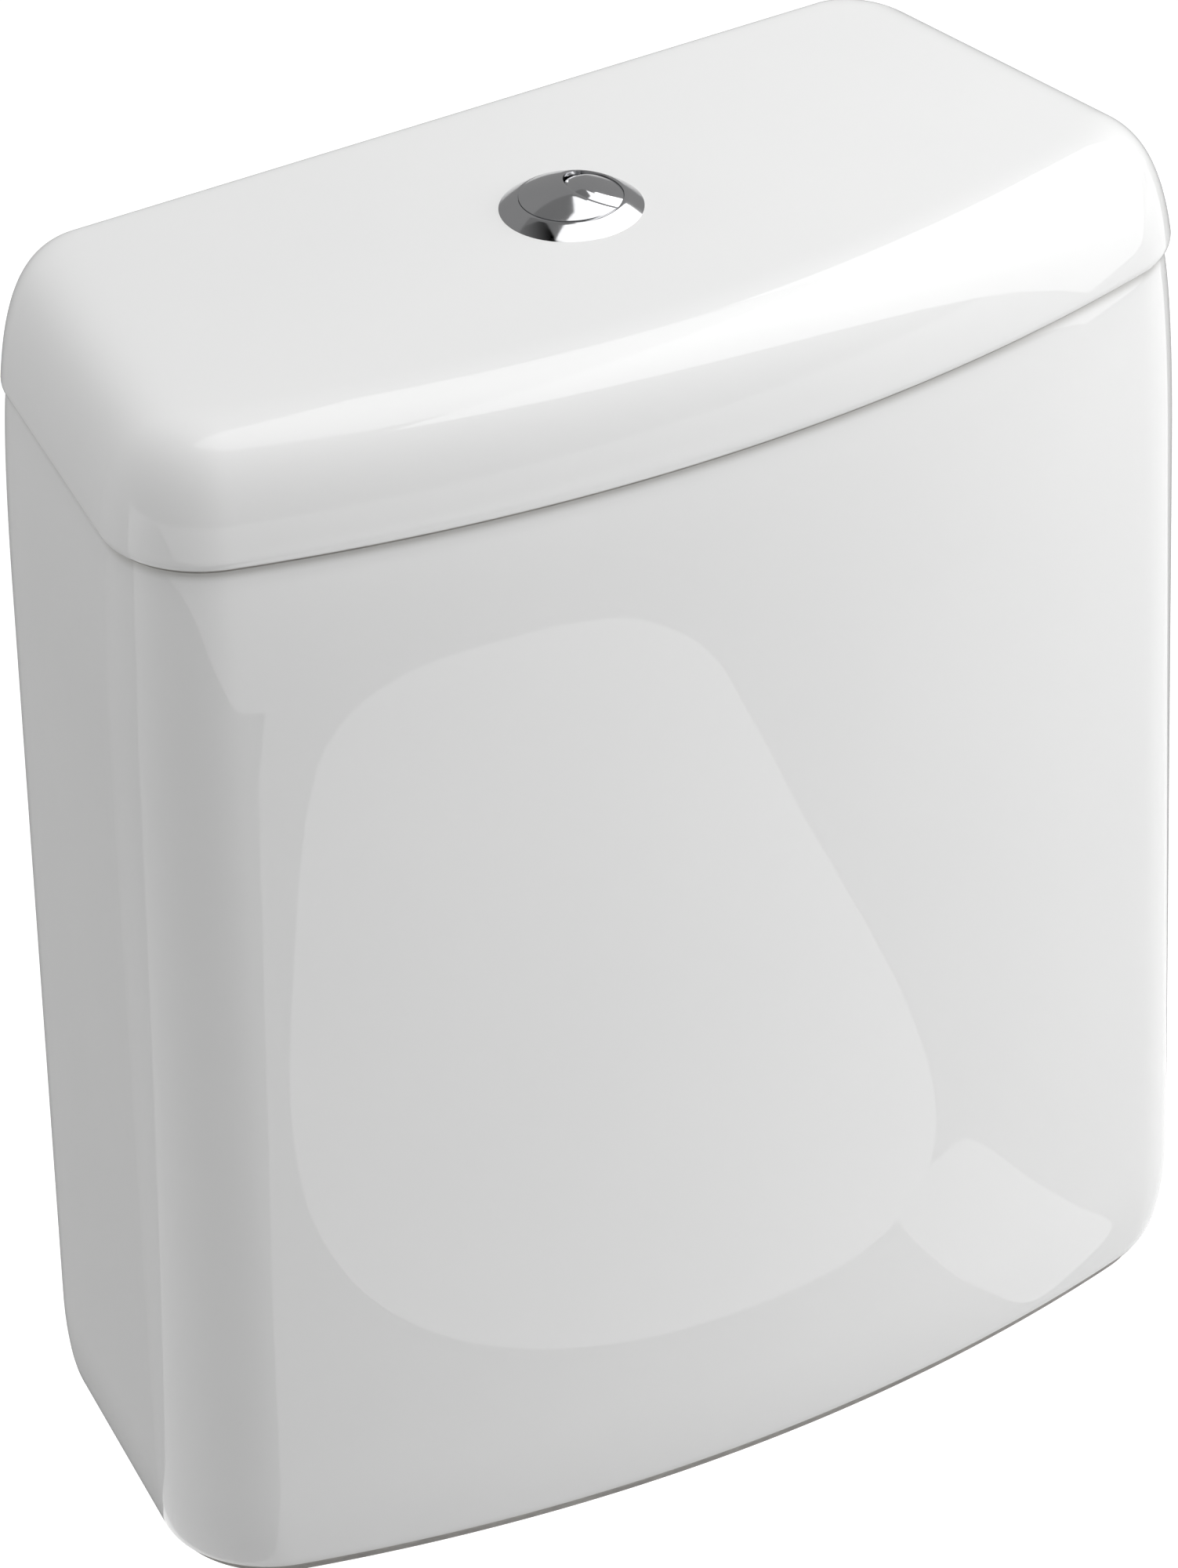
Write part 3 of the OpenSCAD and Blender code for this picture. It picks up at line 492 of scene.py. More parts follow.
class Solid:
    """The mesh of one piece, in millimetres, while it is being made."""

    def __init__(self) -> None:
        """Starts with no faces."""
        self.bm = bmesh.new()

    def skin(
        self, rings: Sequence[Sequence[Point]], ends: Ends = Ends.LOOP, place: Matrix | None = None
    ) -> "Solid":
        """Joins rings of points with a skin.

        Args:
            rings: Rings with as many points each.
            ends: What is done with the first and the last ring.
            place: Where the skin goes.

        Returns:
            This solid.
        """
        shift = place or Matrix.Identity(4)
        made = [[self.bm.verts.new(shift @ Vector(p)) for p in ring] for ring in rings]
        count, last = len(made[0]), len(made) if ends == Ends.LOOP else len(made) - 1
        for k in range(last):
            low, high = made[k], made[(k + 1) % len(made)]
            for i in range(count):
                j = (i + 1) % count
                self.bm.faces.new((low[i], low[j], high[j], high[i]))
        if ends == Ends.CAPS:
            self.bm.faces.new(made[0][::-1])
            self.bm.faces.new(made[-1])
        return self

    def turn(
        self,
        profile: Sequence[tuple[Radius, float]],
        segments: int = 64,
        ends: Ends = Ends.LOOP,
        place: Matrix | None = None,
    ) -> "Solid":
        """Turns a profile round the upright axis.

        Args:
            profile: Radius, or radius by angle, and height of each point.
            segments: Number of steps round the axis.
            ends: As for skin.
            place: Where the result goes.

        Returns:
            This solid.
        """
        angles = [2 * math.pi * i / segments for i in range(segments)]
        rings = []
        for radius, z in profile:
            ring = []
            for a in angles:
                r = radius(a) if callable(radius) else radius
                ring.append((r * math.cos(a), r * math.sin(a), z))
            rings.append(ring)
        return self.skin(rings, ends, place)

    def ring(
        self, inner: float, outer: float, z0: float, z1: float, edge: float = 0.5, place: Matrix | None = None
    ) -> "Solid":
        """A ring or tube with rounded edges.

        Args:
            inner: Inside radius.
            outer: Outside radius.
            z0: Lower height.
            z1: Upper height.
            edge: Radius of the edges.
            place: Where it goes.

        Returns:
            This solid.
        """
        corners = [(inner, z0), (outer, z0), (outer, z1), (inner, z1)]
        return self.turn(rounded(corners, edge), place=place)

    def rod(
        self,
        radius: float,
        z0: float,
        z1: float,
        edge: float = 0.4,
        segments: int = 40,
        place: Matrix | None = None,
    ) -> "Solid":
        """A round bar with rounded ends.

        Args:
            radius: Radius of the bar.
            z0: Lower height.
            z1: Upper height.
            edge: Radius of the edges.
            segments: Number of steps round the bar.
            place: Where it goes.

        Returns:
            This solid.
        """
        core = radius * 0.02
        corners = [(core, z0), (radius, z0), (radius, z1), (core, z1)]
        profile = [p for p in rounded(corners, edge) if p[0] > core * 1.5]
        return self.turn([(core, z0), *profile, (core, z1)], segments, Ends.CAPS, place)

    def block(self, low: Point, high: Point, edge: float = 0.5, place: Matrix | None = None) -> "Solid":
        """A box with rounded edges.

        Args:
            low: Lowest corner.
            high: Highest corner.
            edge: Radius of the edges.
            place: Where it goes.

        Returns:
            This solid.
        """
        middle = [(a + b) / 2 for a, b in zip(low, high)]
        span = [b - a for a, b in zip(low, high)]
        matrix = (place or Matrix.Identity(4)) @ Matrix.Translation(middle) @ Matrix.Diagonal((*span, 1.0))
        made = bmesh.ops.create_cube(self.bm, size=1.0, matrix=matrix)["verts"]
        edges = list({e for v in made for e in v.link_edges})
        width = min(edge, 0.3 * min(span))
        bmesh.ops.bevel(self.bm, geom=edges, offset=width, segments=2, affect="EDGES", profile=0.5)
        return self

    def plate(
        self, outline: Sequence[Pair], z0: float, z1: float, edge: float = 0.4, place: Matrix | None = None
    ) -> "Solid":
        """A flat plate of any outline with rounded edges.

        Args:
            outline: Corners of the plate.
            z0: Lower face.
            z1: Upper face.
            edge: Radius of the edges.
            place: Where it goes.

        Returns:
            This solid.
        """
        shift = place or Matrix.Identity(4)
        low = [self.bm.verts.new(shift @ Vector((x, y, z0))) for x, y in outline]
        high = [self.bm.verts.new(shift @ Vector((x, y, z1))) for x, y in outline]
        bottom, top = self.bm.faces.new(low[::-1]), self.bm.faces.new(high)
        for i in range(len(outline)):
            j = (i + 1) % len(outline)
            self.bm.faces.new((low[i], low[j], high[j], high[i]))
        edges = [*bottom.edges, *top.edges]
        bmesh.ops.bevel(self.bm, geom=edges, offset=edge, segments=2, affect="EDGES", profile=0.5)
        return self

    def thread(
        self,
        crest: float,
        depth: float,
        pitch: float,
        z0: float,
        z1: float,
        segments: int = 48,
        place: Matrix | None = None,
    ) -> "Solid":
        """A screw thread whose crest lies at a radius.

        Args:
            crest: Outside radius.
            depth: Depth of the groove.
            pitch: Rise in one turn.
            z0: Start of the thread.
            z1: End of the thread.
            segments: Steps in one turn.
            place: Where it goes.

        Returns:
            This solid.
        """
        shift = place or Matrix.Identity(4)
        root = crest - depth
        section = [(root, 0.0), (root, 0.1), (crest, 0.42), (crest, 0.68), (root, 1.0)]
        total = int((z1 - z0) / pitch * segments) + segments
        before: list[Any] | None = None
        for k in range(total + 1):
            a = 2 * math.pi * k / segments
            base = z0 - pitch + pitch * k / segments
            made = []
            for r, up in section:
                z = min(z1, max(z0, base + pitch * up))
                made.append(self.bm.verts.new(shift @ Vector((r * math.cos(a), r * math.sin(a), z))))
            if before:
                for i in range(len(section) - 1):
                    self.bm.faces.new((before[i], made[i], made[i + 1], before[i + 1]))
            before = made
        return self

    def coil(
        self, radius: float, wire: float, z0: float, z1: float, turns: int, place: Matrix | None = None
    ) -> "Solid":
        """A helical spring with its last turns laid flat.

        Args:
            radius: Radius of the middle of the wire.
            wire: Diameter of the wire.
            z0: Lower end.
            z1: Upper end.
            turns: Number of turns.
            place: Where it goes.

        Returns:
            This solid.
        """
        shift = place or Matrix.Identity(4)
        steps, sides = 28 * turns, 10
        rings = []
        for k in range(steps + 1):
            a = 2 * math.pi * k * turns / steps
            z = z0 + wire / 2 + (z1 - z0 - wire) * k / steps
            ring = []
            for i in range(sides):
                b = 2 * math.pi * i / sides
                r = radius + wire / 2 * math.cos(b)
                ring.append((r * math.cos(a), r * math.sin(a), z + wire / 2 * math.sin(b)))
            rings.append(ring)
        return self.skin(rings, Ends.CAPS, shift)

    def nut(self, corner: float, bore: float, z0: float, z1: float, place: Matrix | None = None) -> "Solid":
        """A six-sided nut with chamfered corners.

        Args:
            corner: Distance of the corners from the axis.
            bore: Radius of the bore.
            z0: Lower height.
            z1: Upper height.
            place: Where it goes.

        Returns:
            This solid.
        """
        flat = corner * math.cos(math.pi / 6)
        cut = (corner - flat) * 0.58
        rim = hexagon(corner, flat * 1.005)
        full = hexagon(corner * 0.997)
        profile: list[tuple[Radius, float]] = [
            (bore + 0.6, z0),
            (rim, z0),
            (full, z0 + cut),
            (full, z1 - cut),
            (rim, z1),
            (bore + 0.6, z1),
            (bore, z1 - 0.6),
            (bore, z0 + 0.6),
        ]
        return self.turn(profile, 96, place=place)

    def object(self, name: str, sharp: float = 35.0) -> bpy.types.Object:
        """Turns the mesh into an object in metres.

        Args:
            name: Name of the object.
            sharp: Angle in degrees above which an edge stays sharp.

        Returns:
            The object.
        """
        bmesh.ops.remove_doubles(self.bm, verts=self.bm.verts, dist=0.0005)
        bmesh.ops.dissolve_degenerate(self.bm, edges=self.bm.edges, dist=0.0002)
        bmesh.ops.recalc_face_normals(self.bm, faces=self.bm.faces)
        bmesh.ops.scale(self.bm, vec=(MM, MM, MM), verts=self.bm.verts)
        mesh = bpy.data.meshes.new(name)
        self.bm.to_mesh(mesh)
        self.bm.free()
        return finished(bpy.data.objects.new(name, mesh), sharp)


def finished(item: bpy.types.Object, sharp: float) -> bpy.types.Object:
    """Links an object to the scene and shades it smooth up to an angle.

    Args:
        item: The object.
        sharp: Angle in degrees above which an edge stays sharp.

    Returns:
        The same object.
    """
    if item.name not in bpy.context.scene.collection.objects:
        bpy.context.scene.collection.objects.link(item)
    item.data.polygons.foreach_set("use_smooth", [True] * len(item.data.polygons))
    item.data.set_sharp_from_angle(angle=math.radians(sharp))
    return item


def carve(item: bpy.types.Object, tool: bpy.types.Object, keep_inside: bool = False) -> None:
    """Cuts an object with another one and throws that one away.

    Args:
        item: The object to cut.
        tool: The cutting object.
        keep_inside: Keeps what lies inside the tool instead of what lies outside.
    """
    cut = item.modifiers.new("cut", "BOOLEAN")
    cut.operation = "INTERSECT" if keep_inside else "DIFFERENCE"
    cut.solver = "EXACT"
    cut.object = tool
    bpy.context.view_layer.update()
    shaped = bpy.data.meshes.new_from_object(item.evaluated_get(bpy.context.evaluated_depsgraph_get()))
    item.modifiers.clear()
    item.data = shaped
    bpy.data.objects.remove(tool)


@dataclass
class Bench:
    """Puts finished pieces on their bodies."""

    materials: dict[Slot, bpy.types.Material] = field(default_factory=dict)
    # Bare clay material, darkened as painted shade of the gaps at the foot and the seam.
    clay_and_shade_material: bpy.types.Material | None = None

    def paint(self, slot: Slot) -> bpy.types.Material:
        """The material of a slot, made when it is first used.

        Args:
            slot: The slot.

        Returns:
            Its material.
        """
        if slot not in self.materials:
            self.materials[slot] = FINISHES[slot].material()
        return self.materials[slot]

    def clay_and_painted_shade(self) -> bpy.types.Material:
        """The bare clay, darkened as painted shade, made when it is first used.

        Returns:
            The material.
        """
        if self.clay_and_shade_material is None:
            self.clay_and_shade_material = ClayAndPaintedShade().material()
        return self.clay_and_shade_material

    def put(self, item: bpy.types.Object, body: Body, slot: Slot, *nodes: str) -> bpy.types.Object:
        """Gives a piece its finish, its body and the nodes that it stands for.

        Args:
            item: The piece.
            body: The body that it moves with.
            slot: Its finish.
            *nodes: Names of the frame's nodes that it replaces.

        Returns:
            The piece.
        """
        if not item.data.materials:
            item.data.materials.append(self.paint(slot))
        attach(item, body.value)
        if nodes:
            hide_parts(*nodes)
        log.info("%s rides on %s", item.name, body.value)
        return item


@dataclass
class Pottery:
    """The tank and its lid."""

    tank_height: float = 375.0
    back_width: float = 332.0
    depth: float = 179.0
    setback: float = 81.0
    flare: float = 0.175
    front_radius: float = 565.0
    front_corner: float = 35.0
    back_corner: float = 32.0
    lean: float = 2.5
    wall: float = 10.0
    floor_z: float = 12.0
    inner_corner: float = 12.0
    foot_height: float = 3.0
    foot_inset: float = 7.0
    foot_width: float = 12.0
    # Bands of bare clay darkened as painted shade at the foot and the rim, then painted shade fading out over
    # the glaze near the foot, the rim and the lid's lower edge.
    bare_shade_foot: float = 1.8
    bare_shade_rim: float = 1.0
    bare_lid: float = 0.3
    shade_fade_rim: float = 4.5
    shade_fade_foot: float = 5.0
    shade_fade_lid: float = 1.6
    edge_rise: float = 34.0
    edge_in: float = 6.0
    foot_corner_more: float = 8.0
    rim_roll_height: float = 70.0
    rim_roll: float = 4.5
    rim_round: float = 1.6
    lid_height: float = 40.0
    lid_roll_rise: float = 54.0
    lid_roll_in: float = 40.0
    lid_soft: float = 4.7
    lid_corner_soft: float = 0.15
    lid_back_in: float = 13.0
    lid_back_clear: float = 0.8
    lid_edge: float = 3.0
    lid_edge_in: float = 2.75
    lid_plate: float = 11.0
    lip_depth: float = 7.0
    lip_out: float = 12.5
    lip_in: float = 18.0
    ceiling_round: float = 8.0
    least_corner: float = 4.0
    holes: tuple[tuple[float, float], ...] = ((0.0, 31.5), (105.0, 12.0), (72.0, 5.0), (-72.0, 5.0))
    screw_x: float = 95.0
    screw_z: float = 330.0
    screw_r: float = 4.25
    button_hole_r: float = 20.9

    def plan(
        self, inset: float, back_in: float, lean: float, more: float = 0.0, back_more: float = 0.0
    ) -> list[Pair]:
        """The outline from above.

        Args:
            inset: How far the front and sides draw in.
            back_in: How far the back draws in.
            lean: How far the front stands back.
            more: How much rounder the front corners are.
            back_more: How much rounder the back corners are.

        Returns:
            Points of the outline, counter-clockwise from the middle of the front.
        """
        slant = math.hypot(1.0, self.flare)
        side_x = self.back_width / 2 - inset * slant + self.flare * self.setback
        bow_r = self.front_radius - inset
        bow_y = self.setback - self.depth + lean + self.front_radius
        front_r = max(self.front_corner + more - inset, self.least_corner)
        back_r = max(self.back_corner + back_more - inset, self.least_corner)
        k = side_x - front_r * slant
        qa, qb = slant**2, -2 * (k * self.flare + bow_y)
        qc = k * k + bow_y * bow_y - (bow_r - front_r) ** 2
        fy = (-qb - math.sqrt(qb * qb - 4 * qa * qc)) / (2 * qa)
        fx = k - self.flare * fy
        by = self.setback - back_in - back_r
        bx = side_x - back_r * slant - self.flare * by
        side_a, front_a = math.atan(self.flare), math.atan2(fy - bow_y, fx)
        right: list[Pair] = []

        def sweep(cx: float, cy: float, r: float, a: float, b: float, steps: int) -> None:
            """Adds an arc without its first point.

            Args:
                cx: Sideways place of the arc's middle.
                cy: Place of the arc's middle from front to back.
                r: Radius of the arc.
                a: First angle.
                b: Last angle.
                steps: Number of steps.
            """
            for i in range(1, steps + 1):
                t = a + (b - a) * i / steps
                right.append((cx + r * math.cos(t), cy + r * math.sin(t)))

        sweep(0.0, bow_y, bow_r, -math.pi / 2, front_a, 44)
        sweep(fx, fy, front_r, front_a, side_a, 26)
        start, end = right[-1], (bx + back_r * math.cos(side_a), by + back_r * math.sin(side_a))
        for i in range(1, 15):
            right.append((start[0] + (end[0] - start[0]) * i / 14, start[1] + (end[1] - start[1]) * i / 14))
        sweep(bx, by, back_r, side_a, math.pi / 2, 18)
        edge = right[-1]
        for i in range(1, 13):
            right.append((edge[0] * (1 - i / 13), edge[1]))
        left = [(-x, y) for x, y in reversed(right)]
        return [(0.0, bow_y - bow_r), *right, (0.0, edge[1]), *left]

    def level(self, z: float, inset: float, back_in: float, lean: float, more: float = 0.0) -> list[Point]:
        """One ring of the pottery at a height.

        Args:
            z: Height of the ring.
            inset: How far the front and sides draw in.
            back_in: How far the back draws in.
            lean: How far the front stands back.
            more: How much rounder the front corners are.

        Returns:
            The ring's points.
        """
        return [(x, y, z) for x, y in self.plan(inset, back_in, lean, more)]

    def lean_at(self, z: float) -> float:
        """How far the tank's front stands back at a height."""
        return self.lean * (1 - z / self.tank_height)

    def tank_rings(self) -> list[list[Point]]:
        """Rings of the tank, from the middle of its underside over the rim to its floor.

        Returns:
            The rings.
        """
        foot_in = self.foot_inset + self.foot_width
        rings = [self.level(self.foot_height, foot_in + 1.0, foot_in + 1.0, self.lean)]
        for z, inset in ((2.2, foot_in + 0.3), (0.8, foot_in), (0.0, foot_in - 0.8)):
            rings.append(self.level(z, inset, inset, self.lean))
        for z, inset in ((0.0, self.foot_inset + 0.8), (0.3, self.foot_inset + 0.2), (0.9, self.foot_inset)):
            rings.append(self.level(z, inset, inset, self.lean, self.foot_corner_more))
        for z, inset in (
            (2.4, self.foot_inset),
            (2.75, self.foot_inset - 0.25),
            (2.9, self.foot_inset - 0.7),
        ):
            rings.append(self.level(z, inset, inset, self.lean, self.foot_corner_more))
        for i in range(25):
            a = math.pi / 2 * i / 24
            z, left = self.foot_height + self.edge_rise * (1 - math.cos(a)), 1 - math.sin(a)
            inset = self.edge_in * left
            rings.append(self.level(z, inset, inset, self.lean_at(z), self.foot_corner_more * left))
        start, end = self.foot_height + self.edge_rise, self.tank_height - self.rim_roll_height
        for i in range(1, 18):
            z = start + (end - start) * i / 18
            rings.append(self.level(z, 0.0, 0.0, self.lean_at(z)))
        turn = math.asin(1 - self.rim_round / self.rim_roll_height)
        for i in range(25):
            a = turn * math.sin(math.pi / 2 * i / 24)
            z = self.tank_height - self.rim_roll_height * (1 - math.sin(a))
            rings.append(self.level(z, self.rim_roll * (1 - math.cos(a)), 0.0, self.lean_at(z)))
        side = self.rim_roll * (1 - math.cos(turn))
        for i in range(1, 7):
            a = math.pi / 2 * i / 6
            more = self.rim_round * (1 - math.cos(a))
            z = self.tank_height - self.rim_round * (1 - math.sin(a))
            rings.append(self.level(z, side + more, more, 0.0))
        for down, short in ((0.0, 1.2), (0.3, 0.4), (1.2, 0.0)):
            rings.append(self.level(self.tank_height - down, self.wall - short, self.wall - short, 0.0))
        for i in range(1, 12):
            z = self.tank_height + (self.floor_z + self.inner_corner - self.tank_height) * i / 12
            rings.append(self.level(z, self.wall, self.wall, self.lean_at(z)))
        for i in range(9):
            a = math.pi / 2 * i / 8
            z = self.floor_z + self.inner_corner * (1 - math.sin(a))
            inset = self.wall + self.inner_corner * (1 - math.cos(a))
            rings.append(self.level(z, inset, inset, self.lean_at(z)))
        return rings

    def lid_inset(self, z: float) -> float:
        """How far the lid's outside draws in at a height, on one long curve that softens upwards.

        Args:
            z: The height.

        Returns:
            The inset.
        """
        top = self.tank_height + self.lid_height
        up = max(0.0, (z - top + self.lid_roll_rise) / self.lid_roll_rise)
        return self.lid_roll_in * (1 - max(0.0, 1 - up * up) ** (1 / self.lid_soft))

    def lid_level(self, z: float, inset: float) -> list[Point]:
        """One ring of the lid's outside.

        Args:
            z: Height of the ring.
            inset: How far the ring draws in.

        Returns:
            The ring's points.
        """
        back_in = self.lid_back_clear + self.lid_back_in * inset / self.lid_roll_in
        more = self.lid_corner_soft * inset
        return [(x, y, z) for x, y in self.plan(inset, back_in, 0.0, more, more)]

    def lid_rings(self) -> list[list[Point]]:
        """Rings of the lid, from its ceiling round the lip and the outside to the top.

        Returns:
            The rings.
        """
        rim, top = self.tank_height, self.tank_height + self.lid_height
        ceiling, lip_z = top - self.lid_plate, self.tank_height - self.lip_depth
        rings = []
        for i in range(7):
            a = math.pi / 2 * i / 6
            inset = self.lip_in + self.ceiling_round * (1 - math.sin(a))
            z = ceiling - self.ceiling_round * (1 - math.cos(a))
            rings.append(self.level(z, inset, inset, 0.0))
        for z, inset in (
            (lip_z + 1.2, self.lip_in),
            (lip_z + 0.35, self.lip_in - 0.35),
            (lip_z, self.lip_in - 1.2),
            (lip_z, self.lip_out + 1.2),
            (lip_z + 0.35, self.lip_out + 0.35),
            (lip_z + 1.2, self.lip_out),
            (rim - 0.6, self.lip_out),
            (rim, self.lip_out - 0.6),
        ):
            rings.append(self.level(z, inset, inset, 0.0))
        edge_z = rim + self.lid_edge
        side = self.lid_inset(edge_z)
        for i in range(8):
            a = math.pi / 2 * i / 8
            z = rim + self.lid_edge * (1 - math.cos(a))
            rings.append(self.lid_level(z, side + (self.lid_edge_in - side) * (1 - math.sin(a))))
        start = math.asin(max(0.0, (edge_z - top + self.lid_roll_rise) / self.lid_roll_rise))
        for i in range(49):
            a = start + (math.pi / 2 - start) * i / 48
            z = top - self.lid_roll_rise * (1 - math.sin(a))
            rings.append(self.lid_level(z, self.lid_inset(z)))
        return rings

    def build(self, bench: Bench) -> None:
        """Makes the tank and the lid.

        Args:
            bench: Where the pieces are finished.
        """
        tank = Solid().skin(self.tank_rings(), Ends.CAPS).object("tank_pottery", 38.0)
        for x, r in self.holes:
            hole = Solid().rod(r, 1.0, self.floor_z + 3.0, 0.01, 64, move(x)).object("drill")
            carve(tank, hole)
        for side in (-1, 1):
            turned = move(side * self.screw_x, self.setback - self.wall - 3, self.screw_z) @ spin(-90, "X")
            carve(tank, Solid().rod(self.screw_r, 0.0, self.wall + 6.0, 0.01, 40, turned).object("drill"))
        self.dress_tank(bench, finished(tank, 38.0))
        lid = Solid().skin(self.lid_rings(), Ends.CAPS).object("lid_pottery", 38.0)
        top = self.tank_height + self.lid_height
        drill = Solid().rod(self.button_hole_r, top - self.lid_plate - 4, top + 4, 0.01, 72)
        carve(lid, drill.object("drill"))
        self.dress_lid(bench, finished(lid, 38.0))

    def store_painted_shade(self, item: bpy.types.Object, edges: Sequence[Pair]) -> None:
        """Stores painted shade that darkens the glaze towards an edge, at the lid's seam and the tank's foot.

        Args:
            item: The tank or the lid.
            edges: Pairs of heights, from the one where the painted shade is darkest to the one where it has
                faded out.
        """
        stored = item.data.attributes.new("thin", "FLOAT", "POINT")
        for i, vertex in enumerate(item.data.vertices):
            shares = [(full - vertex.co.z / MM) / (full - thin) for thin, full in edges]
            share = max(min(1.0, max(0.0, share)) for share in shares)
            stored.data[i].value = share * share * (3 - 2 * share)

    def dress_tank(self, bench: Bench, tank: bpy.types.Object) -> None:
        """Glazes the tank but for its foot and the top of its rim, which take bare clay darkened as painted
        shade, and lays painted shade over the glaze next to both.

        Args:
            bench: Where the pieces are finished.
            tank: The tank.
        """
        tank.data.materials.clear()
        tank.data.materials.append(bench.paint(Slot.CHINA))
        tank.data.materials.append(bench.clay_and_painted_shade())
        # faces below the foot band and above the rim band take the bare clay darkened as painted shade
        foot_z, rim_z = (self.foot_height + self.bare_shade_foot) * MM, (self.tank_height - self.bare_shade_rim) * MM
        for face in tank.data.polygons:
            face.material_index = 1 if face.center.z < foot_z or face.center.z > rim_z else 0
        rim, foot = self.tank_height, self.foot_height
        # painted shade fades out over the glaze above the foot and below the rim
        self.store_painted_shade(tank, ((rim - self.bare_shade_rim, rim - self.shade_fade_rim), (foot, foot + self.shade_fade_foot)))
        bench.put(tank, Body.TANK, Slot.CHINA, "tank")

    def dress_lid(self, bench: Bench, lid: bpy.types.Object) -> None:
        """Glazes the lid but for the flat that rests on the rim, and lays painted shade over the glaze above
        its lower edge at the seam.

        Args:
            bench: Where the pieces are finished.
            lid: The lid.
        """
        lid.data.materials.clear()
        lid.data.materials.append(bench.paint(Slot.CHINA))
        lid.data.materials.append(bench.clay_and_painted_shade())
        for face in lid.data.polygons:
            low = abs(face.center.z - self.tank_height * MM) < self.bare_lid * MM
            face.material_index = 1 if low and face.normal.z < -0.2 else 0
        # painted shade fades out over the glaze above the lid's lower edge
        self.store_painted_shade(lid, ((self.tank_height, self.tank_height + self.shade_fade_lid),))
        bench.put(lid, Body.LID, Slot.CHINA, "lid")


@dataclass
class FlushButton:
    """The chrome button with its two keys, rods and springs."""

    lid_top: float = 415.0
    bezel_r: float = 22.4
    dome_height: float = 8.0
    bore_r: float = 19.2
    show_r: float = 16.3
    barrel_r: float = 20.4
    barrel_z: float = 384.0
    barrel_floor_z: float = 387.0
    key_z: float = 408.0
    key_gap: float = 0.12
    lens_r: float = 13.0
    lens_out: float = 12.0
    lens_turn: float = -5.0
    groove: float = 0.3
    half_drop: float = 0.8
    half_fall: float = 1.3
    half_roll: float = 5.0
    full_fall: float = 0.4
    full_roll: float = 1.6
    bezel_fall: float = 0.35
    bezel_roll: float = 1.3
    travel: float = 6.0
    rod_r: float = 3.0
    rod_x: float = 12.0
    rod_y: float = 5.0
    rod_end: float = 306.3
    spring_r: float = 4.6
    spring_wire: float = 0.9
    spring_turns: int = 6
    nut_r: float = 28.0
    nut_z: float = 396.0
    nut_top: float = 404.0

    def dome_at(self, r: float) -> float:
        """Height of the dome at a radius."""
        ball = (self.bezel_r**2 + self.dome_height**2) / (2 * self.dome_height)
        return self.lid_top + self.dome_height - ball + math.sqrt(ball**2 - r**2)

    def cap(self, base: float, name: str) -> bpy.types.Object:
        """Both keys in one piece, with the dome on top and a flange that stays below the bezel.

        Args:
            base: Height of the underside.
            name: Name of the object.

        Returns:
            The piece.
        """
        steps, core = 40, 0.02
        flange, head = self.bore_r - self.key_gap, self.show_r - self.key_gap
        flange_z = self.lid_top - self.groove
        profile: list[tuple[Radius, float]] = [(core, base), (flange - 0.4, base), (flange, base + 0.4)]
        profile += [(flange, flange_z - 0.3), (flange - 0.3, flange_z), (head, flange_z)]
        for i in range(steps + 1):
            r = head + (core - head) * i / steps
            profile.append((r, self.dome_at(r)))
        return Solid().turn(profile, 160, Ends.CAPS).object(name, 30.0)

    def lens_middle(self) -> Pair:
        """Where the arc that parts the two keys has its middle."""
        turn = math.radians(self.lens_turn)
        return self.lens_out * math.cos(turn), self.lens_out * math.sin(turn)

    def bezel_top(self, x: float, y: float) -> float:
        """Height of the bezel over a point, rolled down towards the keys."""
        r = math.hypot(x, y)
        return self.dome_at(r) - self.bezel_fall * max(0.0, 1 - (r - self.show_r) / self.bezel_roll) ** 2

    def full_top(self, x: float, y: float) -> float:
        """Height of the full key over a point, rolled down where it meets the half key.

        Args:
            x: Sideways place of the point.
            y: Place of the point from front to back.

        Returns:
            The height, in millimetres.
        """
        middle = self.lens_middle()
        edge = math.hypot(x - middle[0], y - middle[1]) - self.lens_r - self.groove
        return self.dome_at(math.hypot(x, y)) - self.full_fall * max(0.0, 1 - edge / self.full_roll) ** 2

    def half_top(self, x: float, y: float) -> float:
        """Height of the half key over a point, a leaf that rolls down to its front edge.

        Args:
            x: Sideways place of the point.
            y: Place of the point from front to back.

        Returns:
            The height, in millimetres.
        """
        middle = self.lens_middle()
        edge = self.lens_r - self.groove - math.hypot(x - middle[0], y - middle[1])
        fall = self.half_fall * max(0.0, 1 - edge / self.half_roll) ** 2
        return self.dome_at(math.hypot(x, y)) - self.half_drop - fall

    def polish(self, item: bpy.types.Object, top: Callable[[float, float], float]) -> bpy.types.Object:
        """Gives the top faces of a piece the exact normals of its form.

        Args:
            item: The piece.
            top: The height of its top over a point, in millimetres.

        Returns:
            The piece.
        """
        finished(item, 30.0)
        mesh, small = item.data, 0.01
        normals = [Vector(corner.vector) for corner in mesh.corner_normals]
        for face in mesh.polygons:
            middle = face.center / MM
            if face.normal.z < 0.3 or abs(middle.z - top(middle.x, middle.y)) > 0.1:
                continue
            for k in face.loop_indices:
                x, y, _ = mesh.vertices[mesh.loops[k].vertex_index].co / MM
                rise_x = top(x + small, y) - top(x - small, y)
                rise_y = top(x, y + small) - top(x, y - small)
                normals[k] = Vector((-rise_x, -rise_y, 2 * small)).normalized()
        mesh.normals_split_custom_set(normals)
        return item

    def lens(self, r: float) -> bpy.types.Object:
        """The upright column that parts the two keys."""
        column = Solid().rod(r, self.barrel_z, self.lid_top + 12, 0.01, 200, move(*self.lens_middle()))
        return column.object("lens")

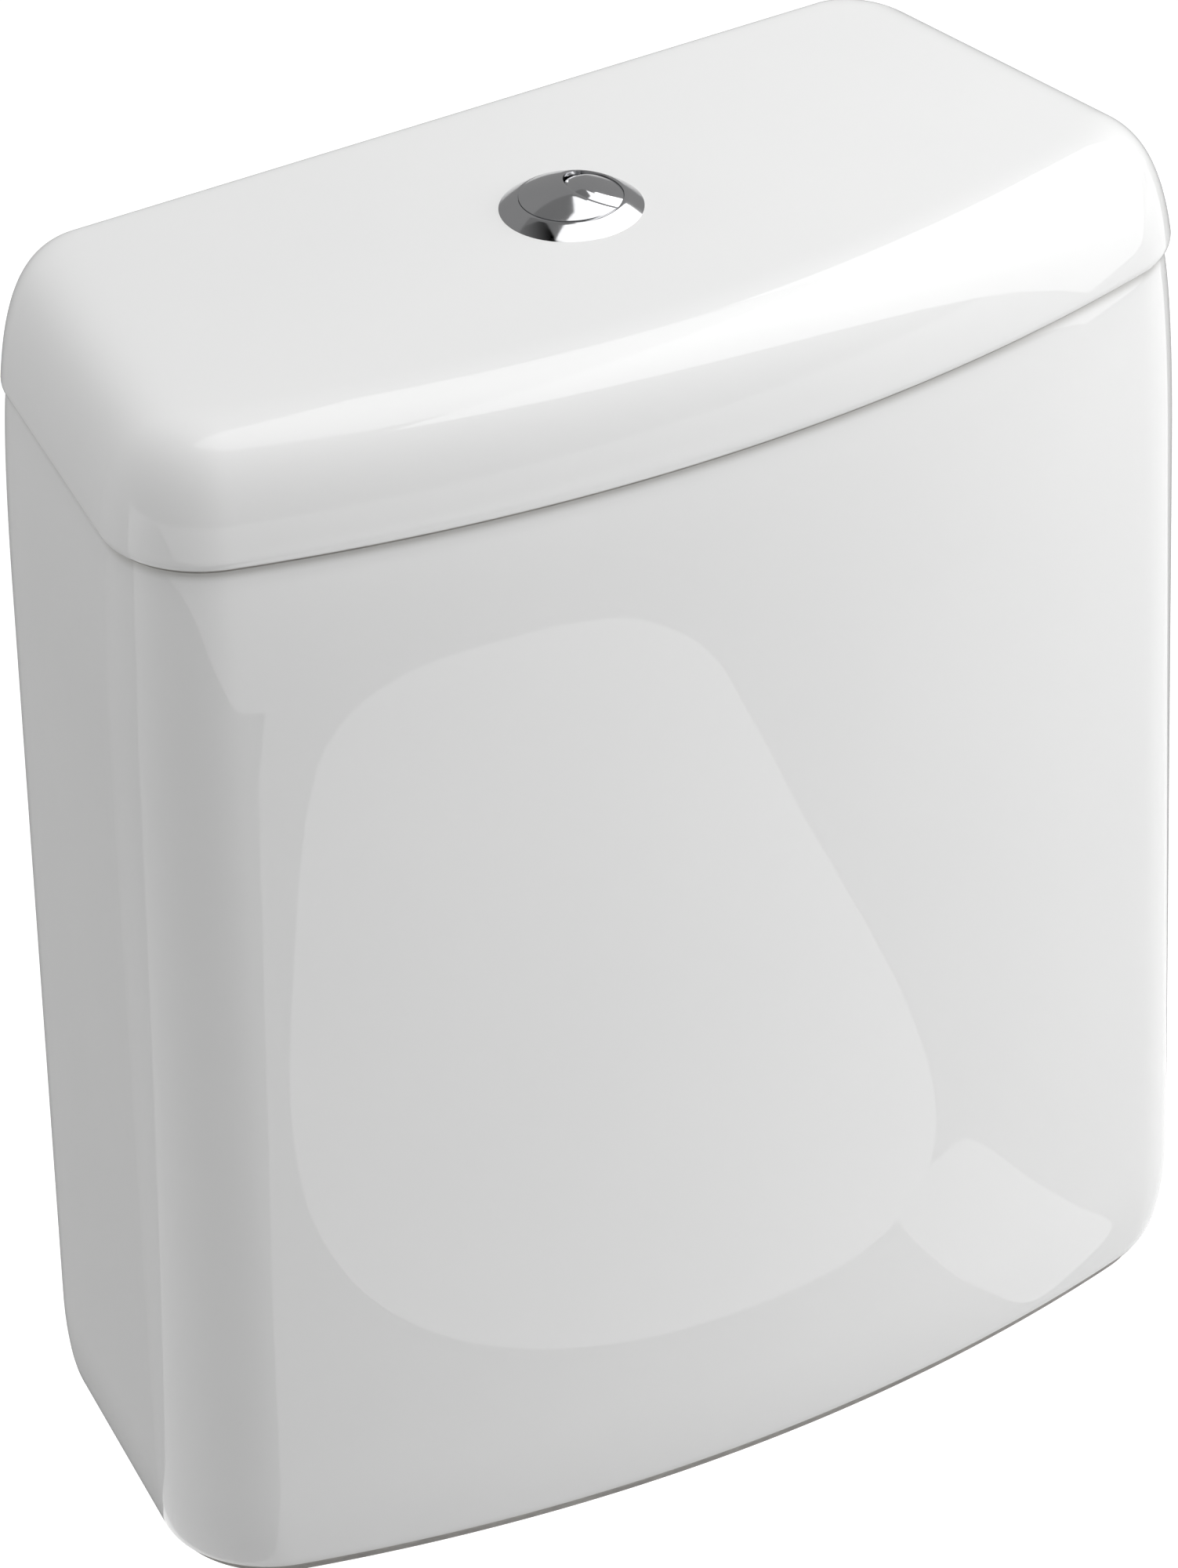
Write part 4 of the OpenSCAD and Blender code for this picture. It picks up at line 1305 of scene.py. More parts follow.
    def settle(self, item: bpy.types.Object, top: Callable[[float, float], float], drop: float) -> None:
        """Brings the domed top of a plug to its form and lowers the rest.

        Args:
            item: The plug.
            top: The height of its top over a point, in millimetres.
            drop: How far the rest goes down.
        """
        for vertex in item.data.vertices:
            x, y, z = vertex.co / MM
            domed = abs(z - self.dome_at(math.hypot(x, y))) < 0.02
            vertex.co.z = (top(x, y) if domed else z - drop) * MM

    def keys(self, bench: Bench) -> None:
        """Makes the two keys of the dome.

        Args:
            bench: Where the pieces are finished.
        """
        full = self.cap(self.key_z, "full_key_cap")
        carve(full, self.lens(self.lens_r + self.groove))
        self.settle(full, self.full_top, 0.0)
        bench.put(self.polish(full, self.full_top), Body.FULL_KEY, Slot.CHROME, "full_flush_key")
        half = self.cap(self.key_z + self.half_drop, "half_key_cap")
        carve(half, self.lens(self.lens_r - self.groove), keep_inside=True)
        self.settle(half, self.half_top, self.half_drop)
        bench.put(self.polish(half, self.half_top), Body.HALF_KEY, Slot.CHROME, "half_flush_key")

    def bezel(self, bench: Bench) -> None:
        """Makes the bezel and its threaded barrel.

        Args:
            bench: Where the pieces are finished.
        """
        steps = 30
        lip: list[tuple[Radius, float]] = []
        for i in range(steps + 1):
            r = self.show_r + (self.bezel_r - self.show_r) * i / steps
            lip.append((r, self.bezel_top(r, 0.0)))
        profile: list[tuple[Radius, float]] = [
            (self.bore_r, self.barrel_floor_z),
            (self.bore_r, self.lid_top),
            (self.show_r, self.lid_top),
            *lip,
            (self.bezel_r - 0.05, self.lid_top - 0.02),
            (self.barrel_r - 0.75, self.lid_top - 0.02),
            (self.barrel_r - 0.75, self.barrel_z + 0.4),
            (self.barrel_r - 1.15, self.barrel_z),
            (0.02, self.barrel_z),
            (0.02, self.barrel_floor_z),
        ]
        item = Solid().turn(profile, 160).object("bezel_barrel", 30.0)
        for side in (-1, 1):
            at = move(side * self.rod_x, side * self.rod_y)
            drill = Solid().rod(self.rod_r + 0.4, self.barrel_z - 2, self.barrel_floor_z + 2, 0.01, 40, at)
            carve(item, drill.object("drill"))
        bench.put(self.polish(item, self.bezel_top), Body.LID, Slot.CHROME, "button_bezel")
        thread = Solid().thread(self.barrel_r, 0.7, 2.0, self.barrel_z + 0.6, self.lid_top - 3.0, 72)
        bench.put(thread.object("barrel_thread"), Body.LID, Slot.CHROME)

    def build(self, bench: Bench) -> None:
        """Makes the button.

        Args:
            bench: Where the pieces are finished.
        """
        self.keys(bench)
        self.bezel(bench)
        nut = Solid().nut(self.nut_r, self.barrel_r + 0.05, self.nut_z, self.nut_top)
        bench.put(nut.object("button_ring_nut"), Body.LID, Slot.WHITE, "button_nut")
        for side, body, word in ((-1, Body.FULL_KEY, "full"), (1, Body.HALF_KEY, "half")):
            at = move(side * self.rod_x, side * self.rod_y)
            rod = Solid().rod(self.rod_r - 0.45, self.rod_end, self.key_z, 0.6, 40, at)
            rod.rod(self.rod_r, self.rod_end, self.rod_end + 6.0, 0.8, 40, at)
            rod.rod(self.rod_r, self.key_z - 8.0, self.key_z, 0.3, 40, at)
            rod.thread(self.rod_r, 0.5, 2.0, self.rod_end + 6.0, self.key_z - 8.0, 32, at)
            bench.put(rod.object(f"{word}_rod"), body, Slot.WHITE, f"{word}_push_rod")
            spring = Solid().coil(
                self.spring_r, self.spring_wire, self.barrel_floor_z, self.key_z, self.spring_turns, at
            )
            coil = spring.object(f"{word}_spring", 60.0)
            item = bench.put(coil, Body.LID, Slot.STEEL, f"{word}_return_spring")
            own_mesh(item)


@dataclass
class FlushValve:
    """The flush valve: base, cage, full flush tube, overflow tube and levers."""

    tail_r: float = 29.8
    outlet_r: float = 25.0
    tail_z: float = -40.0
    floor_z: float = 12.0
    flange_z: float = 15.0
    flange_top: float = 19.0
    flange_r: float = 41.0
    seat_z: float = 23.0
    seat_in: float = 26.0
    seat_out: float = 29.0
    tube_z: float = 27.0
    tube_r: float = 23.0
    tube_in: float = 20.5
    tube_flange_r: float = 30.0
    seal_r: float = 31.0
    half_seat_z: float = 150.0
    half_plate_z: float = 154.0
    half_r: float = 26.0
    overflow_r: float = 13.5
    overflow_in: float = 11.0
    overflow_z: float = 60.0
    overflow_top: float = 258.0
    arm_z: float = 102.0
    overflow_arm_z: float = 196.0
    arm_tall: float = 8.0
    strap_x: float = 32.0
    strap_out: float = 36.0
    hook_x: float = 24.0
    hook_z: float = 296.3
    hook_tall: float = 5.0
    strap_half: float = 6.0
    lever_z: float = 300.0
    lever_tilt: float = math.degrees(math.asin(0.25))
    push_arm: float = 12.0
    lift_arm: float = 28.0
    nose_r: float = 3.0
    pin_r: float = 2.5
    post_in: float = 33.0
    post_out: float = 38.0
    post_half: float = 7.0
    post_top: float = 309.0

    def base(self, bench: Bench) -> None:
        """Makes the base, its nut, its washer and the pan seal.

        Args:
            bench: Where the pieces are finished.
        """
        core = self.tail_r - 1.35
        corners = [
            (self.outlet_r, self.tail_z),
            (core, self.tail_z),
            (core, self.flange_z),
            (self.flange_r, self.flange_z),
            (self.flange_r, self.flange_top),
            (self.seat_out, self.flange_top),
            (self.seat_out, self.seat_z),
            (self.seat_in, self.seat_z),
            (self.seat_in, self.flange_top),
            (self.outlet_r, self.flange_top),
        ]
        item = Solid().turn(rounded(corners, 0.7), 96)
        item.thread(self.tail_r, 1.3, 2.31, self.tail_z + 1.2, self.flange_z, 72)
        for i in range(4):
            item.block((-1.2, self.outlet_r - 0.8, -6.0), (1.2, 26.5, 18.0), 0.3, spin(90 * i + 45, "Z"))
        bench.put(item.object("outlet_base"), Body.TANK, Slot.WHITE, "valve_base")
        washer = Solid().ring(self.tail_r + 0.3, self.flange_r, self.floor_z, self.flange_z, 0.9)
        bench.put(washer.object("outlet_washer"), Body.TANK, Slot.RUBBER, "base_washer")
        nut = Solid().nut(44.0, self.tail_r + 0.05, -9.0, 3.0)
        bench.put(nut.object("outlet_nut"), Body.TANK, Slot.WHITE, "base_nut")
        seal = [(30.1, -9.0), (30.1, -33.0), (35.5, -33.0), (39.5, -30.0), (41.5, -27.0), (42.0, -22.0)]
        for z in (-20.5, -17.5, -14.5):
            seal += [(42.0, z), (41.2, z - 0.6), (41.2, z - 1.0), (42.0, z - 1.6)][::-1]
        seal += [(42.0, -10.5), (40.8, -9.0)]
        rubber = Solid().turn(seal[::-1], 96).object("pan_ring_seal", 45.0)
        bench.put(rubber, Body.TANK, Slot.RUBBER, "pan_seal")

    def cage(self, bench: Bench) -> None:
        """Makes the cage with its two posts, and the lever pin.

        Args:
            bench: Where the pieces are finished.
        """
        item = Solid().ring(32.5, 40.0, self.flange_top, 24.0, 0.8).ring(37.8, 41.8, 280.0, 286.0, 0.8)
        item.ring(23.4, 27.9, 84.0, 88.0, 0.7)
        wide, thin = self.post_half, 2.4
        for turn in (0, 180):
            at = spin(turn, "Z")
            item.block((-wide, self.post_in, 19.0), (wide, self.post_in + thin, self.post_top), 0.8, at)
            for x in (-wide, wide - thin):
                item.block((x, self.post_in, 19.0), (x + thin, self.post_out, self.post_top), 0.7, at)
            for k in range(11):
                z = 34.0 + 24.0 * k
                low = (-wide + 1, self.post_in + 1, z)
                item.block(low, (wide - 1, self.post_out - 0.4, z + 1.8), 0.4, at)
            item.block((-4, 25.25, 84.0), (4, 35.0, 88.0), 0.6, at)
            item.block((-4, 35.0, 280.0), (4, 39.8, 286.0), 0.6, at)
            boss = at @ move(0, self.post_in - 0.2, self.lever_z) @ spin(-90, "X")
            item.ring(self.pin_r, 6.0, 0.0, self.post_out - self.post_in + 0.4, 0.5, boss)
        bench.put(item.object("cage_frame"), Body.TANK, Slot.GREY, "valve_cage")
        lying = move(0, -self.post_out, self.lever_z) @ spin(-90, "X")
        pin = Solid().rod(self.pin_r, 0.0, 2 * self.post_out, 0.6, 40, lying)
        bench.put(pin.object("cross_pin"), Body.TANK, Slot.STEEL, "lever_pin")

    def strap(self, item: Solid, inner: float, z: float, at: Matrix) -> None:
        """Adds a lifting strap with its arm and hook.

        Args:
            item: The tube that it belongs to.
            inner: Where the arm starts.
            z: Height of the arm.
            at: Turn that brings it to its side.
        """
        half, top = self.strap_half, self.hook_z + self.hook_tall
        item.block((inner, -half, z), (self.strap_out, half, z + self.arm_tall), 0.8, at)
        item.block((self.strap_x + 1.4, -half, z), (self.strap_out, half, top), 0.7, at)
        for y in (-half, half - 2.2):
            item.block((self.strap_x, y, z), (self.strap_out, y + 2.2, top), 0.6, at)
        item.block((self.hook_x, -half, self.hook_z), (self.strap_out, half, top), 0.8, at)
        gusset = [(self.strap_x - 9.0, 0.0), (self.strap_x + 1.0, 0.0), (self.strap_x + 1.0, 11.0)]
        stand = at @ move(0, 1.0, z + self.arm_tall - 0.4) @ spin(90, "X")
        item.plate(gusset, 0.0, 2.0, 0.3, stand)

    def tubes(self, bench: Bench) -> None:
        """Makes the full flush tube, the overflow tube, their seals and the float ring.

        Args:
            bench: Where the pieces are finished.
        """
        corners = [
            (self.tube_in, self.tube_z),
            (self.tube_flange_r, self.tube_z),
            (self.tube_flange_r, self.tube_z + 4),
            (self.tube_r, self.tube_z + 4),
            (self.tube_r, 146.0),
            (self.half_r, 146.0),
            (self.half_r, self.half_seat_z),
            (self.tube_in, self.half_seat_z),
        ]
        full = Solid().turn(rounded(corners, 0.8), 96)
        for z in (68.0, 124.0, 135.0):
            full.ring(self.tube_r - 0.8, self.tube_r + 0.35, z, z + 2.0, 0.3)
        self.strap(full, self.tube_r - 1.2, self.arm_z, Matrix.Identity(4))
        bench.put(full.object("full_tube_lift"), Body.FULL_TUBE, Slot.BLUE, "full_flush_tube")
        seal = [
            (self.tube_in, self.tube_z),
            (self.tube_in, self.tube_z - 3.0),
            (self.tube_in + 3.5, self.seat_z),
            (self.seal_r - 0.8, self.seat_z),
            (self.seal_r, self.seat_z + 1.2),
            (self.seal_r, self.tube_z - 1.0),
            (self.seal_r - 1.0, self.tube_z),
        ]
        rubber = Solid().turn(seal[::-1], 96).object("full_seal_ring")
        bench.put(rubber, Body.FULL_TUBE, Slot.RUBBER, "main_seal")
        ring = [(23.3, 31.0), (28.8, 31.0), (30.0, 33.0)]
        for z in (39.0, 46.0, 53.0):
            ring += [(30.0, z - 0.8), (29.3, z), (30.0, z + 0.8)]
        ring += [(30.0, 58.0), (28.0, 61.0), (23.3, 61.0)]
        hollow = Solid().turn(rounded(ring, 0.6), 96).object("float_ring")
        bench.put(hollow, Body.FULL_TUBE, Slot.WHITE, "flush_float")
        corners = [
            (self.overflow_in, self.overflow_z),
            (self.overflow_r, self.overflow_z),
            (self.overflow_r, self.half_plate_z),
            (self.half_r, self.half_plate_z),
            (self.half_r, self.half_plate_z + 4),
            (self.overflow_r, self.half_plate_z + 4),
            (self.overflow_r, self.overflow_top),
            (self.overflow_in, self.overflow_top),
        ]
        over = Solid().turn(rounded(corners, 0.8), 72)
        for turn in (45, 135, 225, 315):
            at = spin(turn, "Z")
            over.block((12.0, -1, self.overflow_z), (20.1, 1, self.overflow_z + 70), 0.4, at)
            upright = at @ move(0, 0, 157.6) @ spin(90, "X")
            over.plate([(12.5, 0), (24.0, 0), (12.5, 16.0)], -0.9, 0.9, 0.3, upright)
        for z in (216.0, 228.0, 240.0):
            over.ring(self.overflow_r - 0.6, self.overflow_r + 0.3, z, z + 1.2, 0.25)
        over.ring(self.overflow_in, self.overflow_r + 0.8, self.overflow_top - 5, self.overflow_top, 0.7)
        self.strap(over, self.overflow_r - 1.2, self.overflow_arm_z, spin(180, "Z"))
        bench.put(over.object("overflow_lift_tube"), Body.OVERFLOW, Slot.RED, "overflow_tube")
        seal = Solid().ring(13.8, 25.5, self.half_seat_z, self.half_plate_z, 1.0)
        bench.put(seal.object("half_seal_ring"), Body.OVERFLOW, Slot.RUBBER, "half_seal")

    def lever(self, name: str, at: Matrix) -> bpy.types.Object:
        """Makes one rocking lever.

        Args:
            name: Name of the object.
            at: Turn about the upright axis.

        Returns:
            The lever.
        """
        place = move(0, 0, self.lever_z) @ at @ spin(-self.lever_tilt, "Y")
        lying = place @ move(0, 1.0, 0) @ spin(-90, "X")
        item = Solid().ring(self.pin_r + 0.05, 5.5, 0.0, 8.0, 0.5, lying)
        for x in (self.push_arm, -self.lift_arm):
            item.rod(self.nose_r, 0.0, 8.0, 0.6, 36, place @ move(x, 1.0, 0) @ spin(-90, "X"))
        for x0, x1 in ((-self.lift_arm, -4.4), (4.4, self.push_arm)):
            item.block((x0, 1.0, -1.0), (x1, 9.0, 1.0), 0.5, place)
            for y in (1.0, 7.4):
                item.block((x0, y, -1.8), (x1, y + 1.6, 1.8), 0.5, place)
        return item.object(name)

    def build(self, bench: Bench) -> None:
        """Makes the flush valve.

        Args:
            bench: Where the pieces are finished.
        """
        self.base(bench)
        self.cage(bench)
        self.tubes(bench)
        half = self.lever("half_rocker", Matrix.Identity(4))
        bench.put(half, Body.HALF_LEVER, Slot.RED, "half_lever")
        bench.put(self.lever("full_rocker", spin(180, "Z")), Body.FULL_LEVER, Slot.BLUE, "full_lever")


@dataclass
class FillValve:
    """The float operated fill valve at the right of the tank."""

    x: float = 105.0
    supply_r: float = 10.48
    neck_r: float = 10.9
    bore_r: float = 7.0
    supply_z: float = -42.0
    nut_z: float = -9.0
    floor_z: float = 12.0
    flange_z: float = 15.0
    flange_top: float = 19.0
    flange_r: float = 18.0
    collar_r: float = 13.5
    socket_z: float = 30.0
    collar_z: float = 50.0
    riser_r: float = 11.0
    riser_in: float = 8.0
    head_z: float = 258.0
    head_top: float = 288.0
    head_r: float = 21.0
    cap_r: float = 23.5
    cap_z: float = 278.0
    cap_top: float = 302.0
    spout_r: float = 7.5
    spout_y: float = 46.0
    spout_z: float = 270.0
    nozzle_z: float = 246.0
    silencer_z: float = 40.0
    pin_y: float = -8.0
    pin_z: float = 311.0
    lever_tilt: float = math.degrees(math.asin(0.24))
    float_arm: float = 25.0
    plunger_arm: float = 8.0
    link_y: float = -33.0
    link_top: float = 302.7
    float_z: float = 192.0
    float_top: float = 240.0
    float_r: float = 36.0
    float_in: float = 14.0

    def supply(self, bench: Bench) -> None:
        """Makes the threaded supply shank, its washer, nut and filter.

        Args:
            bench: Where the pieces are finished.
        """
        at = move(self.x)
        core = self.supply_r - 1.05
        corners = [
            (self.bore_r, self.supply_z),
            (core, self.supply_z),
            (core, self.nut_z),
            (self.neck_r, self.nut_z),
            (self.neck_r, self.flange_z),
            (self.flange_r, self.flange_z),
            (self.flange_r, self.flange_top),
            (self.collar_r, self.flange_top),
            (self.collar_r, self.collar_z),
            (self.riser_r + 0.05, self.collar_z),
            (self.riser_r + 0.05, self.socket_z),
            (self.bore_r, self.socket_z),
        ]
        shank = Solid().turn(rounded(corners, 0.5), 72, place=at)
        shank.thread(self.supply_r, 1.0, 1.814, self.supply_z + 0.8, self.nut_z, 56, at)
        for z in (25.0, 30.0, 35.0, 40.0):
            shank.ring(self.collar_r - 1.0, self.collar_r + 0.25, z, z + 1.2, 0.3, at)
        bench.put(shank.object("supply_tail"), Body.TANK, Slot.BRASS, "supply_shank")
        washer = Solid().ring(self.neck_r + 0.3, self.flange_r, self.floor_z, self.flange_z, 0.9, at)
        bench.put(washer.object("supply_seal"), Body.TANK, Slot.RUBBER, "supply_washer")
        nut = Solid().nut(18.0, self.neck_r + 0.05, self.nut_z, 3.0, at)
        bench.put(nut.object("supply_back_nut"), Body.TANK, Slot.BRASS, "supply_nut")
        sieve = Solid().ring(5.9, 6.95, -40.0, -37.5, 0.3, at).rod(6.9, -25.0, -24.0, 0.3, 40, at)
        for z in (-35.0, -32.0, -29.0):
            sieve.ring(6.1, 6.85, z, z + 0.8, 0.2, at)
        for i in range(16):
            sieve.block((6.0, -0.35, -38.5), (6.85, 0.35, -24.4), 0.1, at @ spin(22.5 * i, "Z"))
        bench.put(sieve.object("supply_sieve"), Body.TANK, Slot.WHITE, "supply_filter")

    def column(self, bench: Bench) -> None:
        """Makes the riser, its nut, the valve head, its membrane and the silencer.

        Args:
            bench: Where the pieces are finished.
        """
        at = move(self.x)
        profile: list[Pair] = [(self.riser_in, self.socket_z), (self.riser_r, self.socket_z)]
        profile += [(self.riser_r, 62.0)]
        for k in range(24):
            z = 66.0 + 5.0 * k
            groove = self.riser_r - 0.5
            profile += [(self.riser_r, z), (groove, z + 0.6), (groove, z + 1.4), (self.riser_r, z + 2.0)]
        ledge = self.float_z - 0.3
        profile += [(self.riser_r, ledge - 3.0), (15.5, ledge - 3.0), (15.5, ledge), (self.riser_r, ledge)]
        profile += [(self.riser_r, self.head_z + 12.0), (self.riser_in, self.head_z + 12.0)]
        bench.put(Solid().turn(profile, 64, place=at).object("riser_pipe"), Body.TANK, Slot.WHITE, "riser")
        nut = Solid().nut(16.5, self.riser_r + 0.05, self.collar_z, 60.0, at)
        bench.put(nut.object("riser_lock_nut"), Body.TANK, Slot.BLUE, "riser_nut")
        grip = ribbed(self.head_r, 28, 0.9)
        head = Solid().turn(
            [
                (self.riser_r + 0.05, self.head_z + 0.6),
                (self.riser_r + 0.6, self.head_z),
                (self.head_r - 3.0, self.head_z),
                (self.head_r - 0.8, self.head_z + 1.4),
                (grip, self.head_z + 3.5),
                (grip, self.cap_z - 3.0),
                (self.head_r, self.cap_z - 2.0),
                (self.head_r, self.head_top),
                (17.0, self.head_top),
                (17.0, self.head_top - 3.6),
                (self.bore_r, self.head_top - 3.6),
                (self.bore_r, self.head_z + 12.0),
                (self.riser_r + 0.05, self.head_z + 12.0),
            ],
            168,
            place=at,
        )
        lying = at @ move(0, 12.0, self.spout_z) @ spin(-90, "X")
        head.rod(self.spout_r, 0.0, self.spout_y - 12.0, 0.4, 48, lying)
        head.ring(6.5, self.spout_r + 1.2, 8.0, 11.0, 0.6, lying)
        drop = at @ move(0, self.spout_y)
        head.rod(self.spout_r, self.nozzle_z, self.spout_z + self.spout_r, 2.4, 48, drop)
        bench.put(head.object("valve_housing"), Body.TANK, Slot.WHITE, "valve_head")
        membrane = Solid().rod(16.7, self.head_top - 3.6, self.head_top, 0.8, 64, at)
        bench.put(membrane.object("membrane"), Body.TANK, Slot.RUBBER, "diaphragm")
        spout_end = self.spout_z - self.spout_r
        quiet = Solid().ring(self.spout_r + 0.05, 9.05, self.silencer_z, spout_end - 0.3, 0.5, drop)
        for z in (self.silencer_z + 1.0, self.silencer_z + 5.0, spout_end - 6.0):
            quiet.ring(8.2, 9.5, z, z + 2.2, 0.5, drop)
        bench.put(quiet.object("silencer_pipe"), Body.TANK, Slot.GREY, "silencer_tube")

    def top(self, bench: Bench) -> None:
        """Makes the cap, the plunger, the float lever and its pin.

        Args:
            bench: Where the pieces are finished.
        """
        at = move(self.x)
        grip = ribbed(self.cap_r, 36, 1.0)
        cap = Solid().turn(
            [
                (self.head_r + 0.3, self.cap_z),
                (self.cap_r - 0.7, self.cap_z),
                (grip, self.cap_z + 1.2),
                (grip, self.cap_top - 4.0),
                (self.cap_r - 0.9, self.cap_top - 1.6),
                (self.cap_r - 2.6, self.cap_top),
                (2.8, self.cap_top),
                (2.05, self.cap_top - 0.7),
                (2.05, self.head_top + 9.0),
                (14.0, self.head_top + 9.0),
                (14.0, self.head_top),
                (self.head_r + 0.3, self.head_top),
            ],
            216,
            place=at,
        )
        cap.ring(15.5, 18.5, self.cap_top - 0.6, self.cap_top + 0.5, 0.4, at)
        for side in (-1, 1):
            x0 = 5.4 if side > 0 else -8.4
            ear = [(-12.0, 300.5), (-4.0, 300.5), (-4.0, 311.5)]
            arc = (0.35, 0.9, 1.57, 2.24, 2.79)
            ear += [(-8.0 + 4.0 * math.cos(a), 311.0 + 4.0 * math.sin(a)) for a in arc]
            ear += [(-12.0, 311.5)]
            upright = at @ Matrix(((0, 0, 1, 0), (1, 0, 0, 0), (0, 1, 0, 0), (0, 0, 0, 1)))
            cap.plate(ear, x0, x0 + 3.0, 0.5, upright)
            cap.block((x0 + 0.8, -15.0, 300.8), (x0 + 2.2, -1.0, 303.5), 0.3, at)
        bench.put(cap.object("valve_cap"), Body.TANK, Slot.BLUE, "head_cap")
        plunger = Solid().rod(2.0, 296.0, 310.0, 0.4, 32, at).rod(3.0, 309.12, 310.62, 0.5, 32, at)
        bench.put(plunger.object("valve_plunger"), Body.PLUNGER, Slot.RED, "plunger")
        place = at @ move(0, self.pin_y, self.pin_z) @ spin(self.lever_tilt, "X")
        across = place @ move(-5.0) @ spin(90, "Y")
        lever = Solid().ring(1.55, 3.5, 0.0, 10.0, 0.4, across)
        for y in (self.plunger_arm, -self.float_arm):
            lever.rod(2.0, 0.0, 10.0, 0.5, 32, place @ move(-5.0, y, 0) @ spin(90, "Y"))
        for y0, y1 in ((-self.float_arm, -2.6), (2.6, self.plunger_arm)):
            lever.block((-5.0, y0, -0.7), (5.0, y1, 0.7), 0.3, place)
            for x in (-5.0, 3.6):
                lever.block((x, y0, -1.2), (x + 1.4, y1, 1.2), 0.4, place)
        bench.put(lever.object("float_rocker"), Body.FLOAT_LEVER, Slot.RED, "float_lever")
        lying = at @ move(-8.4, self.pin_y, self.pin_z) @ spin(90, "Y")
        pin = Solid().rod(1.5, 0.0, 16.8, 0.4, 32, lying)
        bench.put(pin.object("rocker_pin"), Body.TANK, Slot.STEEL, "float_lever_pin")

    def floating(self, bench: Bench) -> None:
        """Makes the float cup and its link.

        Args:
            bench: Where the pieces are finished.
        """
        at = move(self.x)
        ribs = ribbed(self.float_r, 24, 0.8)
        roof = self.float_top - 4.0
        cup = Solid().turn(
            [
                (self.float_in, self.float_z),
                (self.float_in + 2.0, self.float_z),
                (self.float_in + 2.0, roof),
                (self.float_r - 2.0, roof),
                (self.float_r - 2.0, self.float_z),
                (self.float_r, self.float_z),
                (self.float_r, self.float_z + 3.0),
                (self.float_r - 0.6, self.float_z + 4.0),
                (ribs, self.float_z + 6.0),
                (ribs, self.float_top - 5.0),
                (self.float_r - 0.6, self.float_top - 2.6),
                (self.float_r - 2.2, self.float_top - 0.6),
                (self.float_r - 4.0, self.float_top),
                (self.float_in + 1.0, self.float_top),
                (self.float_in, self.float_top - 1.0),
            ],
            192,
            place=at,
        )
        for i in range(8):
            web = at @ spin(45 * i + 22.5, "Z")
            low = (self.float_in + 2.5, -0.8, self.float_top - 0.6)
            cup.block(low, (self.float_r - 4.0, 0.8, self.float_top + 0.8), 0.3, web)
        bench.put(cup.object("float_bell"), Body.FLOAT, Slot.GREY, "float_cup")
        stand = at @ move(0, self.link_y)
        link = Solid().rod(1.9, self.float_top - 0.5, self.link_top - 1.0, 0.3, 32, stand)
        link.thread(2.5, 0.6, 1.6, self.float_top + 6.0, self.link_top - 5.0, 32, stand)
        link.rod(2.5, self.float_top - 0.3, self.float_top + 6.0, 0.4, 32, stand)
        link.rod(3.0, self.link_top - 3.0, self.link_top, 0.7, 32, stand)
        bench.put(link.object("float_rod"), Body.FLOAT, Slot.WHITE, "float_link")

    def build(self, bench: Bench) -> None:
        """Makes the fill valve.

        Args:
            bench: Where the pieces are finished.
        """
        self.supply(bench)
        self.column(bench)
        self.top(bench)
        self.floating(bench)


